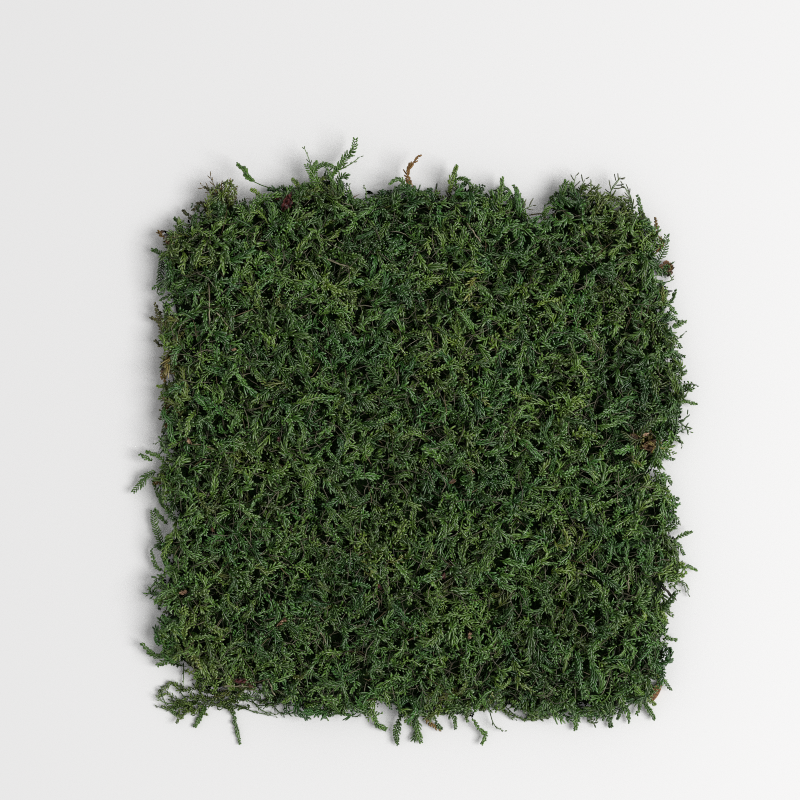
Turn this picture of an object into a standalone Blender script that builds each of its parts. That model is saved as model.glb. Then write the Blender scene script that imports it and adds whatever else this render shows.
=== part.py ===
"""A square mat of sheet moss that lies flat, with the fronds that stray past its edge.

Units are metres, with +Z up. The mat lies on the plane Z = 0, and the origin is on that
plane, in the middle of the whole object seen from above. +Y is the mat's far side.

The mat is one tangle of stems that grew together, so it is one solid with a tufted top.
The stray fronds, the twig, the bark chip, the dry stalks and the scraps of dead leaf are
pieces of their own, which lie against the mat or on it.
"""

import math

import bmesh
import bpy
from mathutils import Vector, noise
from mathutils.bvhtree import BVHTree

# The mat without its stray fronds
MAT_WIDTH = 0.299
MAT_DEPTH = 0.304
MAT_CENTRE = Vector((0.0015, -0.0050, 0.0))
CORNER_RADIUS = {
    ("left", "far"): 0.042,
    ("right", "far"): 0.058,
    ("right", "near"): 0.035,
    ("left", "near"): 0.012,
}
MAT_HEIGHT = 0.0195
GRID = 50

# Where the edge swells out of the plain rounded square, or falls short of it:
# side, place along the side, half its width, how far it stands out
EDGE_SWELLS = (
    ("far", -0.118, 0.012, 0.003),
    ("far", -0.053, 0.017, 0.013),
    ("far", -0.008, 0.008, 0.004),
    ("far", 0.027, 0.011, 0.005),
    ("far", 0.070, 0.017, -0.010),
    ("right", 0.092, 0.034, -0.006),
    ("right", 0.030, 0.030, 0.003),
    ("right", -0.012, 0.013, -0.013),
    ("right", -0.062, 0.018, 0.003),
    ("right", -0.108, 0.018, -0.004),
    ("near", 0.106, 0.010, 0.003),
    ("near", 0.068, 0.011, 0.004),
    ("near", 0.048, 0.006, -0.004),
    ("near", 0.027, 0.008, 0.005),
    ("near", -0.004, 0.017, 0.008),
    ("near", -0.089, 0.008, -0.005),
    ("left", 0.082, 0.008, -0.004),
    ("left", -0.015, 0.013, 0.007),
    ("left", -0.043, 0.008, -0.005),
    ("left", -0.095, 0.034, 0.003),
    ("left", -0.136, 0.008, -0.024),
)

# The shaggy edge: how far single shoots reach, the roundness of the rim, and the tucked foot
SHAG_REACH = 0.0035
SHAG_STEP = 0.0065
RIM_INSET = 0.0030
RIM_SHARE = 0.62
RIM_WIDTH = 0.020
BELLY_SHARE = 0.38
FOOT_TUCK = 0.0030

# The tufted top: broad hummocks, and the tufts of single shoots on them
HUMMOCK_SIZE = 0.055
HUMMOCK_HEIGHT = 0.0026
TUFT_SIZE = 0.0135
TUFT_HEIGHT = 0.0036
HOLLOW_SIZE = 0.034
HOLLOW_DEPTH = 0.0024
# Loose corners where the mat is thin: centre, reach, and the share of its height that is left
THIN_CORNERS = (
    (Vector((-0.125, -0.150, 0.0)), 0.040, 0.42),
    (Vector((-0.053, 0.160, 0.0)), 0.020, 0.70),
)

# Touching pieces keep this gap
GAP = 0.0004

# The stray fronds. Each has its route from the mat's edge to its tip, as points X, Y, Z,
# then half its width, and its number of pairs of side shoots.
FRONDS = {
    "frond_far_1": (((-0.1108, 0.1370, 0.010), (-0.1154, 0.1470, 0.011), (-0.1189, 0.1546, 0.013)), 0.0030, 4),
    "frond_far_2": (((-0.0802, 0.1400, 0.011), (-0.0906, 0.1489, 0.014), (-0.0964, 0.1535, 0.015), (-0.1010, 0.1604, 0.016)), 0.0021, 7),
    "frond_far_3": (((-0.0606, 0.1560, 0.009), (-0.0612, 0.1633, 0.010), (-0.0646, 0.1719, 0.012)), 0.0013, 4),
    "frond_far_4": (((-0.0485, 0.1560, 0.009), (-0.0435, 0.1610, 0.010), (-0.0400, 0.1664, 0.012), (-0.0362, 0.1690, 0.014), (-0.0346, 0.1757, 0.016)), 0.0040, 7),
    "frond_far_5": (((0.0237, 0.1470, 0.010), (0.0232, 0.1560, 0.012), (0.0240, 0.1602, 0.014)), 0.0026, 4),
    "frond_far_6": (((0.0479, 0.1400, 0.009), (0.0497, 0.1480, 0.010), (0.0508, 0.1535, 0.012)), 0.0019, 4),
    "frond_far_7": (((0.0923, 0.1380, 0.009), (0.0920, 0.1480, 0.010), (0.0932, 0.1556, 0.012)), 0.0024, 4),
    "frond_far_8": (((0.1055, 0.1350, 0.009), (0.1138, 0.1465, 0.011), (0.1194, 0.1542, 0.013)), 0.0024, 5),
    "frond_far_9": (((0.1255, 0.1290, 0.008), (0.1262, 0.1392, 0.009), (0.1218, 0.1480, 0.011)), 0.0020, 4),
    "frond_right_1": (((0.1402, 0.1040, 0.007), (0.1450, 0.1120, 0.008), (0.1464, 0.1206, 0.009)), 0.0026, 4),
    "frond_right_2": (((0.1452, 0.0796, 0.008), (0.1494, 0.0830, 0.008), (0.1514, 0.0884, 0.009)), 0.0018, 3),
    "frond_right_3": (((0.1500, 0.0672, 0.008), (0.1535, 0.0688, 0.008), (0.1572, 0.0704, 0.009)), 0.0016, 3),
    "frond_right_4": (((0.1520, 0.0290, 0.008), (0.1562, 0.0306, 0.008), (0.1600, 0.0334, 0.009)), 0.0020, 3),
    "frond_right_5": (((0.1510, 0.0237, 0.006), (0.1575, 0.0242, 0.006), (0.1640, 0.0228, 0.006)), 0.0017, 5),
    "frond_right_6": (((0.1520, 0.0133, 0.006), (0.1562, 0.0108, 0.005), (0.1604, 0.0063, 0.005)), 0.0032, 4),
    "frond_right_7": (((0.1480, 0.0040, 0.004), (0.1520, 0.0025, 0.004), (0.1556, 0.0004, 0.004)), 0.0020, 3),
    "frond_right_8": (((0.1515, -0.0556, 0.007), (0.1565, -0.0532, 0.008), (0.1608, -0.0517, 0.008)), 0.0018, 4),
    "frond_right_9": (((0.1515, -0.0733, 0.007), (0.1580, -0.0720, 0.006), (0.1640, -0.0741, 0.005)), 0.0019, 4),
    "frond_right_10": (((0.1520, -0.0800, 0.003), (0.1588, -0.0826, 0.003), (0.1600, -0.0892, 0.002)), 0.0010, 3),
    "frond_right_11": (((0.1440, -0.1142, 0.006), (0.1482, -0.1140, 0.006), (0.1520, -0.1150, 0.006)), 0.0015, 3),
    "frond_near_1": (((-0.1073, -0.1510, 0.003), (-0.1050, -0.1640, 0.002), (-0.1022, -0.1757, 0.002)), 0.0020, 8),
    "frond_near_2": (((-0.1235, -0.1520, 0.003), (-0.1252, -0.1598, 0.002), (-0.1277, -0.1654, 0.002)), 0.0020, 4),
    "frond_near_3": (((-0.0960, -0.1500, 0.003), (-0.0890, -0.1566, 0.003), (-0.0796, -0.1592, 0.002)), 0.0009, 3),
    "frond_near_4": (((-0.0237, -0.1560, 0.006), (-0.0222, -0.1636, 0.005), (-0.0168, -0.1664, 0.004)), 0.0019, 4),
    "frond_near_5": (((-0.0085, -0.1620, 0.006), (-0.0098, -0.1692, 0.005), (-0.0106, -0.1752, 0.004)), 0.0016, 5),
    "frond_near_6": (((0.0025, -0.1620, 0.004), (0.0014, -0.1690, 0.003), (-0.0006, -0.1737, 0.003)), 0.0029, 3),
    "frond_near_7": (((0.0110, -0.1590, 0.005), (0.0130, -0.1640, 0.004), (0.0152, -0.1670, 0.004)), 0.0017, 3),
    "frond_near_8": (((0.0325, -0.1590, 0.007), (0.0377, -0.1668, 0.005), (0.0410, -0.1705, 0.004), (0.0392, -0.1755, 0.004)), 0.0017, 6),
    "frond_near_9": (((0.0430, -0.1540, 0.006), (0.0464, -0.1646, 0.005), (0.0526, -0.1686, 0.004)), 0.0011, 5),
    "frond_near_10": (((0.0940, -0.1560, 0.005), (0.0936, -0.1626, 0.004), (0.0942, -0.1664, 0.004)), 0.0018, 3),
    "frond_near_11": (((0.1110, -0.1560, 0.005), (0.1130, -0.1616, 0.004), (0.1148, -0.1652, 0.004)), 0.0019, 3),
    "frond_near_12": (((0.1310, -0.1450, 0.005), (0.1362, -0.1544, 0.004), (0.1400, -0.1604, 0.003)), 0.0014, 4),
    "frond_left_1": (((-0.1530, -0.0108, 0.007), (-0.1562, -0.0090, 0.008), (-0.1597, -0.0070, 0.009)), 0.0017, 3),
    "frond_left_2": (((-0.1500, -0.0170, 0.006), (-0.1560, -0.0192, 0.007), (-0.1590, -0.0232, 0.006), (-0.1640, -0.0284, 0.005)), 0.0024, 6),
    "frond_left_3": (((-0.1440, -0.0480, 0.006), (-0.1482, -0.0436, 0.006), (-0.1512, -0.0388, 0.007)), 0.0017, 4),
    "frond_left_4": (((-0.1505, -0.0820, 0.005), (-0.1544, -0.0852, 0.004), (-0.1562, -0.0896, 0.003)), 0.0010, 3),
    "frond_left_5": (((-0.1450, -0.1252, 0.005), (-0.1529, -0.1229, 0.006), (-0.1591, -0.1172, 0.007)), 0.0021, 5),
    "withered_frond": (((-0.0010, 0.1480, 0.010), (-0.0040, 0.1545, 0.011), (-0.0036, 0.1592, 0.013), (0.0022, 0.1660, 0.014)), 0.0016, 5),
}
FROND_THICKNESS = 0.0012
NARROW_SHARE = 0.45

# Dry stalks that lie on the tufts: the two ends seen from above
STALKS = {
    "dry_stalk_1": ((-0.1188, 0.0930), (-0.1180, 0.0645)),
    "dry_stalk_2": ((-0.1150, 0.0762), (-0.1052, 0.0650)),
    "dry_stalk_3": ((-0.0586, 0.1090), (-0.0372, 0.1010)),
    "dry_stalk_4": ((-0.0586, -0.1020), (-0.0456, -0.1252)),
    "dry_stalk_5": ((-0.0854, -0.1350), (-0.0804, -0.1460)),
    "dry_stalk_6": ((-0.1113, -0.1405), (-0.0930, -0.1405)),
    "dry_stalk_7": ((0.0294, 0.1275), (0.0381, 0.1154)),
    "dry_stalk_8": ((0.1227, -0.0740), (0.1229, -0.0860)),
}
STALK_RADIUS = 0.00045

# A dark twig that lies over the right edge in the same way
TWIG_ENDS = ((0.1420, -0.0820), (0.1515, -0.0912))
TWIG_RADIUS = 0.0009

# Curled scraps of dead leaf that lie on the tufts: centre, length, width, turn in degrees
SCRAPS = {
    "leaf_scrap_1": ((-0.0743, 0.1385), 0.0095, 0.0060, 70.0),
    "leaf_scrap_2": ((-0.1405, 0.1170), 0.0070, 0.0042, 20.0),
    "leaf_scrap_3": ((0.1345, -0.0008), 0.0090, 0.0055, 35.0),
    "leaf_scrap_4": ((0.0315, -0.0160), 0.0060, 0.0036, 120.0),
    "leaf_scrap_5": ((-0.0770, -0.1030), 0.0056, 0.0036, 50.0),
    "leaf_scrap_6": ((-0.1005, -0.1365), 0.0066, 0.0042, 10.0),
}
SCRAP_THICKNESS = 0.0005
SCRAP_CURL = 0.0010

# A dead leaf beside the right edge, and a chip of orange bark under the near right corner:
# centre, length, width and turn in degrees
DEAD_LEAF = (Vector((0.1487, 0.1010, 0.0)), 0.0070, 0.0050, 80.0)
BARK_CHIP = (Vector((0.1424, -0.1452, 0.0)), 0.0115, 0.0048, 62.0)
BARK_THICKNESS = 0.0034

# Name: base colour, roughness
FINISHES = {
    "moss_green": ((0.050, 0.095, 0.024), 0.75),
    "withered_moss": ((0.150, 0.095, 0.050), 0.80),
    "dry_stalk": ((0.300, 0.230, 0.130), 0.60),
    "dead_leaf": ((0.240, 0.110, 0.055), 0.70),
    "bark": ((0.330, 0.140, 0.045), 0.80),
    "twig": ((0.050, 0.040, 0.030), 0.75),
}


def clear_scene():
    for thing in list(bpy.data.objects):
        bpy.data.objects.remove(thing, do_unlink=True)


def finish_named(name):
    """The material of that name, made when it is first asked for."""
    material = bpy.data.materials.get(name)
    if material is None:
        colour, roughness = FINISHES[name]
        material = bpy.data.materials.new(name)
        material.use_nodes = True
        shader = material.node_tree.nodes["Principled BSDF"]
        shader.inputs["Base Color"].default_value = (*colour, 1.0)
        shader.inputs["Roughness"].default_value = roughness
    return material


def add_piece(name, bm, finish, smooth=True):
    """Puts the bmesh in the scene as an object of its own."""
    bmesh.ops.recalc_face_normals(bm, faces=bm.faces)
    if bm.calc_volume(signed=True) < 0.0:
        bmesh.ops.reverse_faces(bm, faces=bm.faces)
    mesh = bpy.data.meshes.new(name)
    bm.to_mesh(mesh)
    bm.free()
    if smooth:
        mesh.shade_smooth()
    mesh.materials.append(finish_named(finish))
    piece = bpy.data.objects.new(name, mesh)
    bpy.context.scene.collection.objects.link(piece)
    return piece


def eased(share):
    """0 to 1 along a smooth step."""
    share = min(max(share, 0.0), 1.0)
    return share * share * (3.0 - 2.0 * share)


def swell_at(side, along):
    """How far the edge stands out of the plain rounded square there."""
    total = 0.0
    for swell_side, place, half_width, reach in EDGE_SWELLS:
        if swell_side == side and abs(along - place) < half_width:
            total += reach * 0.5 * (1.0 + math.cos(math.pi * (along - place) / half_width))
    return total


def outline_at(a, b):
    """Maps a point of the border of the square from -1 to 1 to the mat's outline.

    Returns the point and the outward direction there.
    """
    half = Vector((MAT_WIDTH / 2.0, MAT_DEPTH / 2.0))
    flat_sided = abs(a) >= abs(b)
    across = "right" if a > 0.0 else "left"
    along = "far" if b > 0.0 else "near"
    radius = CORNER_RADIUS[(across, along)]
    signs = Vector((math.copysign(1.0, a), math.copysign(1.0, b)))
    if flat_sided:
        share_along = abs(b)
        straight = 1.0 - radius / half.y
    else:
        share_along = abs(a)
        straight = 1.0 - radius / half.x
    if share_along <= straight:
        outward = Vector((signs.x, 0.0)) if flat_sided else Vector((0.0, signs.y))
        point = Vector((a * half.x, b * half.y))
    else:
        turn = math.radians(45.0) * (share_along - straight) / (1.0 - straight)
        angle = turn if flat_sided else math.radians(90.0) - turn
        outward = Vector((math.cos(angle) * signs.x, math.sin(angle) * signs.y))
        centre = Vector(((half.x - radius) * signs.x, (half.y - radius) * signs.y))
        point = centre + outward * radius
    if flat_sided:
        swell = swell_at(across, point.y)
    else:
        swell = swell_at(along, point.x)
    return point + outward * swell, outward


def shag_at(point, salt):
    """How far the shoots stand out of the edge near this point, from 0 to 1."""
    cell = Vector((point.x / SHAG_STEP, point.y / SHAG_STEP, salt))
    return 0.5 + 0.5 * noise.cell(cell)


def top_height(point, edge_distance):
    """The height of the tufted top over a point, which is this far inside the edge."""
    rounding = RIM_SHARE + (1.0 - RIM_SHARE) * eased(edge_distance / RIM_WIDTH)
    height = MAT_HEIGHT * rounding
    height += HUMMOCK_HEIGHT * noise.noise(point / HUMMOCK_SIZE)
    nearest = noise.voronoi(point / TUFT_SIZE)[0][0]
    height += TUFT_HEIGHT * (0.5 - min(nearest, 1.0)) * eased(edge_distance / SHAG_STEP)
    hollow = noise.noise(point / HOLLOW_SIZE + Vector((7.0, 3.0, 1.0)))
    height -= HOLLOW_DEPTH * max(0.0, hollow)
    for centre, reach, share in THIN_CORNERS:
        thinning = 1.0 - eased((point - centre).length / reach)
        height *= 1.0 - (1.0 - share) * thinning
    return height


def mat_mesh():
    """The mat: a grid drawn out to the outline, tufted on top, with a belly and a flat foot."""
    bm = bmesh.new()
    bmesh.ops.create_grid(bm, x_segments=GRID, y_segments=GRID, size=1.0)
    border = [edge for edge in bm.edges if edge.is_boundary]
    half_size = min(MAT_WIDTH, MAT_DEPTH) / 2.0
    place_on_border = {}
    for vert in bm.verts:
        a, b = vert.co.x, vert.co.y
        ring = max(abs(a), abs(b))
        if ring < 1e-6:
            vert.co = MAT_CENTRE + Vector((0.0, 0.0, top_height(MAT_CENTRE, half_size)))
            continue
        point, outward = outline_at(a / ring, b / ring)
        reach = shag_at(point, 1.0) * SHAG_REACH - RIM_INSET
        if vert.is_boundary:
            place_on_border[vert] = (point, outward)
        flat = ((point + outward * reach) * ring).to_3d() + MAT_CENTRE
        height = top_height(flat, (1.0 - ring) * half_size)
        vert.co = flat + Vector((0.0, 0.0, height))
    rim_height = {vert: vert.co.z for vert in place_on_border}
    # Each row of the side: its share of the rim's height, how far it stands out, its own shoots
    rows = ((BELLY_SHARE, 0.0, 2.0), (0.0, -FOOT_TUCK, None))
    above = place_on_border
    edges = border
    for share, stand_out, salt in rows:
        made = bmesh.ops.extrude_edge_only(bm, edges=edges)["geom"]
        edges = [item for item in made if isinstance(item, bmesh.types.BMEdge)]
        edges = [edge for edge in edges if edge.is_boundary]
        below = {}
        heights = {}
        for vert, (point, outward) in above.items():
            new = next(
                edge.other_vert(vert) for edge in vert.link_edges
                if edge.other_vert(vert).is_boundary and edge.other_vert(vert) not in above
            )
            reach = stand_out
            if salt is not None:
                reach += shag_at(point, salt) * SHAG_REACH
            flat = (point + outward * reach).to_3d() + MAT_CENTRE
            new.co = flat + Vector((0.0, 0.0, rim_height[vert] * share))
            below[new] = (point, outward)
            heights[new] = rim_height[vert]
        above = below
        rim_height = heights
    bmesh.ops.contextual_create(bm, geom=edges)
    return bm


def smooth_route(points, count):
    """count points, evenly shared out along a smooth curve through the given ones."""
    ends = [Vector(p) for p in points]
    padded = [2.0 * ends[0] - ends[1], *ends, 2.0 * ends[-1] - ends[-2]]
    spans = len(ends) - 1
    route = []
    for step in range(count):
        place = spans * step / (count - 1)
        index = min(int(place), spans - 1)
        t = place - index
        before, start, end, after = padded[index:index + 4]
        route.append(0.5 * (
            2.0 * start + (end - before) * t
            + (2.0 * before - 5.0 * start + 4.0 * end - after) * t * t
            + (3.0 * start - before - 3.0 * end + after) * t * t * t
        ))
    return route


def swept(route, sections):
    """A closed solid through these four-sided sections, each (half width, half height)."""
    bm = bmesh.new()
    cap = None
    for index, (point, (half_width, half_height)) in enumerate(zip(route, sections)):
        before = route[max(index - 1, 0)]
        after = route[min(index + 1, len(route) - 1)]
        ahead = (after - before).normalized()
        side = ahead.cross(Vector((0.0, 0.0, 1.0))).normalized()
        up = side.cross(ahead).normalized()
        corners = (
            point - side * half_width, point - up * half_height,
            point + side * half_width, point + up * half_height,
        )
        if cap is None:
            cap = bm.faces.new([bm.verts.new(corner) for corner in corners])
            continue
        made = bmesh.ops.extrude_face_region(bm, geom=[cap, *cap.edges])["geom"]
        cap = next(item for item in made if isinstance(item, bmesh.types.BMFace))
        for vert, corner in zip(cap.verts, corners):
            vert.co = corner
    return bm


def is_clear(bm, tree):
    """Whether a piece keeps the gap from the mat."""
    if BVHTree.FromBMesh(bm).overlap(tree):
        return False
    return all(tree.find_nearest(vert.co)[3] > GAP for vert in bm.verts)


def swept_from_edge(points, sections, tree):
    """Sweeps the sections to the route's tip from the first place that is clear of the mat."""
    fine = smooth_route(points, 60)
    for start in range(0, 52, 2):
        span = len(fine) - 1 - start
        steps = len(sections) - 1
        route = [fine[start + round(span * step / steps)] for step in range(steps + 1)]
        bm = swept(route, sections)
        if is_clear(bm, tree):
            return bm
        bm.free()
    raise RuntimeError("the route stays inside the mat")


def add_frond(name, tree):
    """A flat frond whose edges are toothed by its pairs of side shoots."""
    points, half_width, pairs = FRONDS[name]
    steps = 2 * pairs + 1
    sections = []
    for index in range(steps):
        share = index / (steps - 1)
        taper = 1.0 - 0.8 * share * share
        tooth = 1.0 if index % 2 else NARROW_SHARE
        thickness = min(FROND_THICKNESS, half_width) * (1.0 - 0.5 * share)
        sections.append((half_width * tooth * taper, thickness))
    finish = "withered_moss" if name == "withered_frond" else "moss_green"
    add_piece(name, swept_from_edge(points, sections, tree), finish)


def height_under(tree, x, y):
    """The height of the mat's top over a point, or 0 where there is no mat."""
    hit = tree.ray_cast(Vector((x, y, 1.0)), Vector((0.0, 0.0, -1.0)))
    return hit[0].z if hit[0] else 0.0


def add_stalk(name, ends, radius, finish, tree):
    """A straight stalk laid over the tufts, so that it touches the highest of them."""
    start, end = (Vector((*point, 0.0)) for point in ends)
    steps = 24
    heights = []
    for step in range(steps + 1):
        point = start.lerp(end, step / steps)
        heights.append(height_under(tree, point.x, point.y))
    half = steps // 2
    low, high = max(heights[:half + 1]), max(heights[half:])
    start.z, end.z = low, high
    lift = 0.0
    for step, height in enumerate(heights):
        lift = max(lift, height - start.lerp(end, step / steps).z)
    up = Vector((0.0, 0.0, lift + radius + GAP + 0.0002))
    route = [start + up, start.lerp(end, 0.5) + up, end + up]
    sections = [(radius * share,) * 2 for share in (1.0, 0.9, 0.7)]
    add_piece(name, swept(route, sections), finish)


def leaf_scrap(length, width, curl, thickness):
    """A scrap of leaf: a small pointed sheet that curls up along its middle."""
    bm = bmesh.new()
    bmesh.ops.create_grid(bm, x_segments=4, y_segments=2, size=0.5)
    for vert in bm.verts:
        along, across = vert.co.x * 2.0, vert.co.y * 2.0
        narrowing = 1.0 - 0.75 * along * along
        bend = curl * (across * across - 0.6 * along * along)
        vert.co = Vector((along * length / 2.0, across * width / 2.0 * narrowing, bend))
    bmesh.ops.solidify(bm, geom=bm.faces, thickness=thickness)
    return bm


def place(bm, centre, degrees):
    for vert in bm.verts:
        turn = math.radians(degrees)
        x = vert.co.x * math.cos(turn) - vert.co.y * math.sin(turn)
        y = vert.co.x * math.sin(turn) + vert.co.y * math.cos(turn)
        vert.co = Vector((x, y, vert.co.z)) + centre


def add_scrap(name, tree):
    """A scrap of leaf on the tufts, just clear of the highest one under it."""
    (x, y), length, width, degrees = SCRAPS[name]
    bm = leaf_scrap(length, width, SCRAP_CURL, SCRAP_THICKNESS)
    place(bm, Vector((x, y, 0.0)), degrees)
    steps = 12
    peak = 0.0
    for row in range(steps + 1):
        for column in range(steps + 1):
            left = x + length * (row / steps - 0.5)
            front = y + length * (column / steps - 0.5)
            peak = max(peak, height_under(tree, left, front))
    lowest = min(vert.co.z for vert in bm.verts)
    for vert in bm.verts:
        vert.co.z += peak + GAP - lowest
    add_piece(name, bm, "dead_leaf")


def set_down(bm, tree):
    """Sets a piece on the ground beside the right edge, just clear of the mat."""
    lowest = min(vert.co.z for vert in bm.verts)
    for vert in bm.verts:
        vert.co.z -= lowest
    for _ in range(60):
        if is_clear(bm, tree):
            return
        for vert in bm.verts:
            vert.co.x += GAP


def add_dead_leaf(tree):
    centre, length, width, degrees = DEAD_LEAF
    bm = leaf_scrap(length, width, SCRAP_CURL, SCRAP_THICKNESS)
    place(bm, centre, degrees)
    set_down(bm, tree)
    add_piece("dead_leaf", bm, "dead_leaf")


def add_bark_chip(tree):
    """A slab of bark with one broken end."""
    centre, length, width, degrees = BARK_CHIP
    bm = bmesh.new()
    bmesh.ops.create_grid(bm, x_segments=4, y_segments=2, size=0.5)
    for vert in bm.verts:
        along, across = vert.co.x, vert.co.y
        ragged = 0.10 * noise.noise(Vector((along * 5.0, across * 5.0, 4.0)))
        narrowing = 1.0 - 0.5 * max(0.0, along) ** 1.5
        bow = -0.10 * across * across * 4.0
        vert.co = Vector((
            (along + ragged) * length,
            across * width * narrowing,
            bow * BARK_THICKNESS + ragged * BARK_THICKNESS,
        ))
    bmesh.ops.solidify(bm, geom=bm.faces, thickness=BARK_THICKNESS)
    place(bm, centre, degrees)
    set_down(bm, tree)
    add_piece("bark_chip", bm, "bark", smooth=False)


def main():
    clear_scene()
    body = mat_mesh()
    bmesh.ops.recalc_face_normals(body, faces=body.faces)
    tree = BVHTree.FromBMesh(body)
    add_piece("moss_mat", body, "moss_green")
    for name in FRONDS:
        add_frond(name, tree)
    add_stalk("twig", TWIG_ENDS, TWIG_RADIUS, "twig", tree)
    for name, ends in STALKS.items():
        add_stalk(name, ends, STALK_RADIUS, "dry_stalk", tree)
    for name in SCRAPS:
        add_scrap(name, tree)
    add_dead_leaf(tree)
    add_bark_chip(tree)


main()
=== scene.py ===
"""The looks of a square mat of sheet moss that lies on a pale surface.

The mat is made as it grew: stems that arch out of a dark thatch, each with two rows of
small side shoots. Every shoot is a closed tapered tube. Metres, +Z up.
"""

import math

import bmesh
import bpy
import numpy as np
from mathutils import Matrix, Vector, noise
from mathutils.bvhtree import BVHTree
from mathutils.kdtree import KDTree


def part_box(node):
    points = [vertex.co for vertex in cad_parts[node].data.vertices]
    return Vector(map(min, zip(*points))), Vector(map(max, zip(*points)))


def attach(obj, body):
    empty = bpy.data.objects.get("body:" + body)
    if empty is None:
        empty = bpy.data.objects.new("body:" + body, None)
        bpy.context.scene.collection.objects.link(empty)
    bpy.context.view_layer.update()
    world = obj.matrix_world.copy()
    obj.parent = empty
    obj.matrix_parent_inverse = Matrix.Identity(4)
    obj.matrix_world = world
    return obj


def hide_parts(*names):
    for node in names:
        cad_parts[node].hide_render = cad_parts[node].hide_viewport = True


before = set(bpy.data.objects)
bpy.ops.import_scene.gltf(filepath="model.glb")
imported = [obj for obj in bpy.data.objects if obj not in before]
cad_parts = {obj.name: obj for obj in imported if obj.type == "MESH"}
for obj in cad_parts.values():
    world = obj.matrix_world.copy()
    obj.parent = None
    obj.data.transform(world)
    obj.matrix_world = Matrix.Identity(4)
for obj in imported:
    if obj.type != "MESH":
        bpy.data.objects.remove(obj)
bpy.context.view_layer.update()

SEED = 11

# The photograph: its side in pixels, a pixel's size on the mat, and the pixel over the middle
FRAME_SIDE = 800.0
PIXEL = 0.00058
MIDDLE = (415.0, 443.0)

# All sizes are in metres. How far apart the fronds stand, those under them, the bare stems that
# cross between them, and the dead stems below the mat
FROND_SPACING = 0.0061
UNDER_SPACING = 0.0080
BARE_SPACING = 0.0048
DEAD_SPACING = 0.0085
# Side shoots: their length and radius, the shortest, and from what length they are curved more
# finely
SHOOT_LENGTH = 0.0021
SHOOT_RADIUS = 0.00060
SHORTEST_SHOOT = 0.0008
LONG_SHOOT = 0.0024
# Radii of the fronds' stems, the bare and the dead ones, the dry stalks and the twig, and how
# thick a leaf is
STEM_RADIUS = 0.00052
BARE_RADIUS = 0.00032
DEAD_RADIUS = 0.0005
STRAW_RADIUS = 0.00040
TWIG_RADIUS = 0.00075
LEAF_THICKNESS = 0.00022
# Where the fronds end: how far inside the mat's edge, and below what height
EDGE_MARGIN = 0.0022
HIGHEST = 0.0305
# The thatch: how far in from the mat's edge and down from its top, and in how many moves of
# what greatest length it is drawn in
THATCH_INSET = 0.0058
THATCH_DEPTH = 0.0072
THATCH_MOVES = 9
LONGEST_MOVE = 0.004
# Heights above the table: the thatch's flat underside, how much higher a face must reach not to
# belong to it, and the lowest point of everything else
UNDERSIDE = 0.0012
HAIR = 0.00003
LOWEST = 0.0002
# How far down between the fronds the painted shade is quite dark
DARK_DEPTH = 0.010
# The thinnest part of the mat that fronds grow on, and the corner where its four zones meet
THINNEST = 0.003
ZONE_CORNER = (0.003, -0.007)
# From how far above and beside the mat rays are sent to find its surface
RAY_HEIGHT = 0.1
RAY_REACH = 0.5
# How far the dead stems below keep from the mat's edge, and half the mat's side
DEAD_INSET = 0.02
HALF_SIDE = 0.15
# The fringe, in two rows: how many fronds, at what height, their rise and droop, and how many
# shoots each has
FRINGE = ((560, 0.0110, 0.35, -0.35, 14), (420, 0.0060, 0.05, -0.50, 11))
# The chip of bark: its size, its turn, and how far it is tucked in under the moss
CHIP_SIZE = (0.0110, 0.0044, 0.0028)
CHIP_TURN = 62.0
CHIP_TUCK = 0.0080
# The part of each cell of the UV map that a tube takes up: where it starts and how wide it is
UV_START, UV_WIDTH = 0.08, 0.84

# The studio: a white table, even light, a window to the right, and the camera straight above,
# whose picture is true to size at one level of the mat
TABLE_REACH = 12.0
TABLE_COLOUR = (0.656, 0.653, 0.651)
WORLD_LIGHT = 0.520
WINDOW_PLACE = (2.45, -0.45, 3.03)
WINDOW_POWER = 172.0
WINDOW_SIZE = 2.3
CAMERA_HEIGHT = 1.2
CAMERA_LEVEL = 0.012
SENSOR = 36.0

# Where the mat's edge draws back further, or is thin: pixel, radius and depth
DRAWN_BACK = (
    ((190, 205), 0.020, 0.006), ((246, 190), 0.012, 0.006), ((380, 188), 0.024, 0.002),
    ((432, 188), 0.014, 0.003), ((508, 194), 0.014, 0.003), ((541, 206), 0.014, 0.005),
    ((592, 194), 0.024, 0.002), ((668, 262), 0.012, 0.007), ((672, 605), 0.016, 0.003),
    ((688, 452), 0.010, 0.006), ((678, 698), 0.020, 0.010), ((386, 724), 0.012, 0.008),
    ((158, 265), 0.012, 0.005), ((155, 335), 0.022, 0.003), ((155, 395), 0.024, 0.004),
    ((152, 465), 0.020, 0.005), ((158, 517), 0.013, 0.009), ((151, 548), 0.018, 0.003),
    ((151, 635), 0.026, 0.001), ((170, 677), 0.014, 0.010), ((160, 706), 0.018, 0.012),
    ((190, 704), 0.018, 0.011), ((222, 706), 0.018, 0.011), ((256, 706), 0.018, 0.011),
    ((286, 714), 0.012, 0.007),
)
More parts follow.
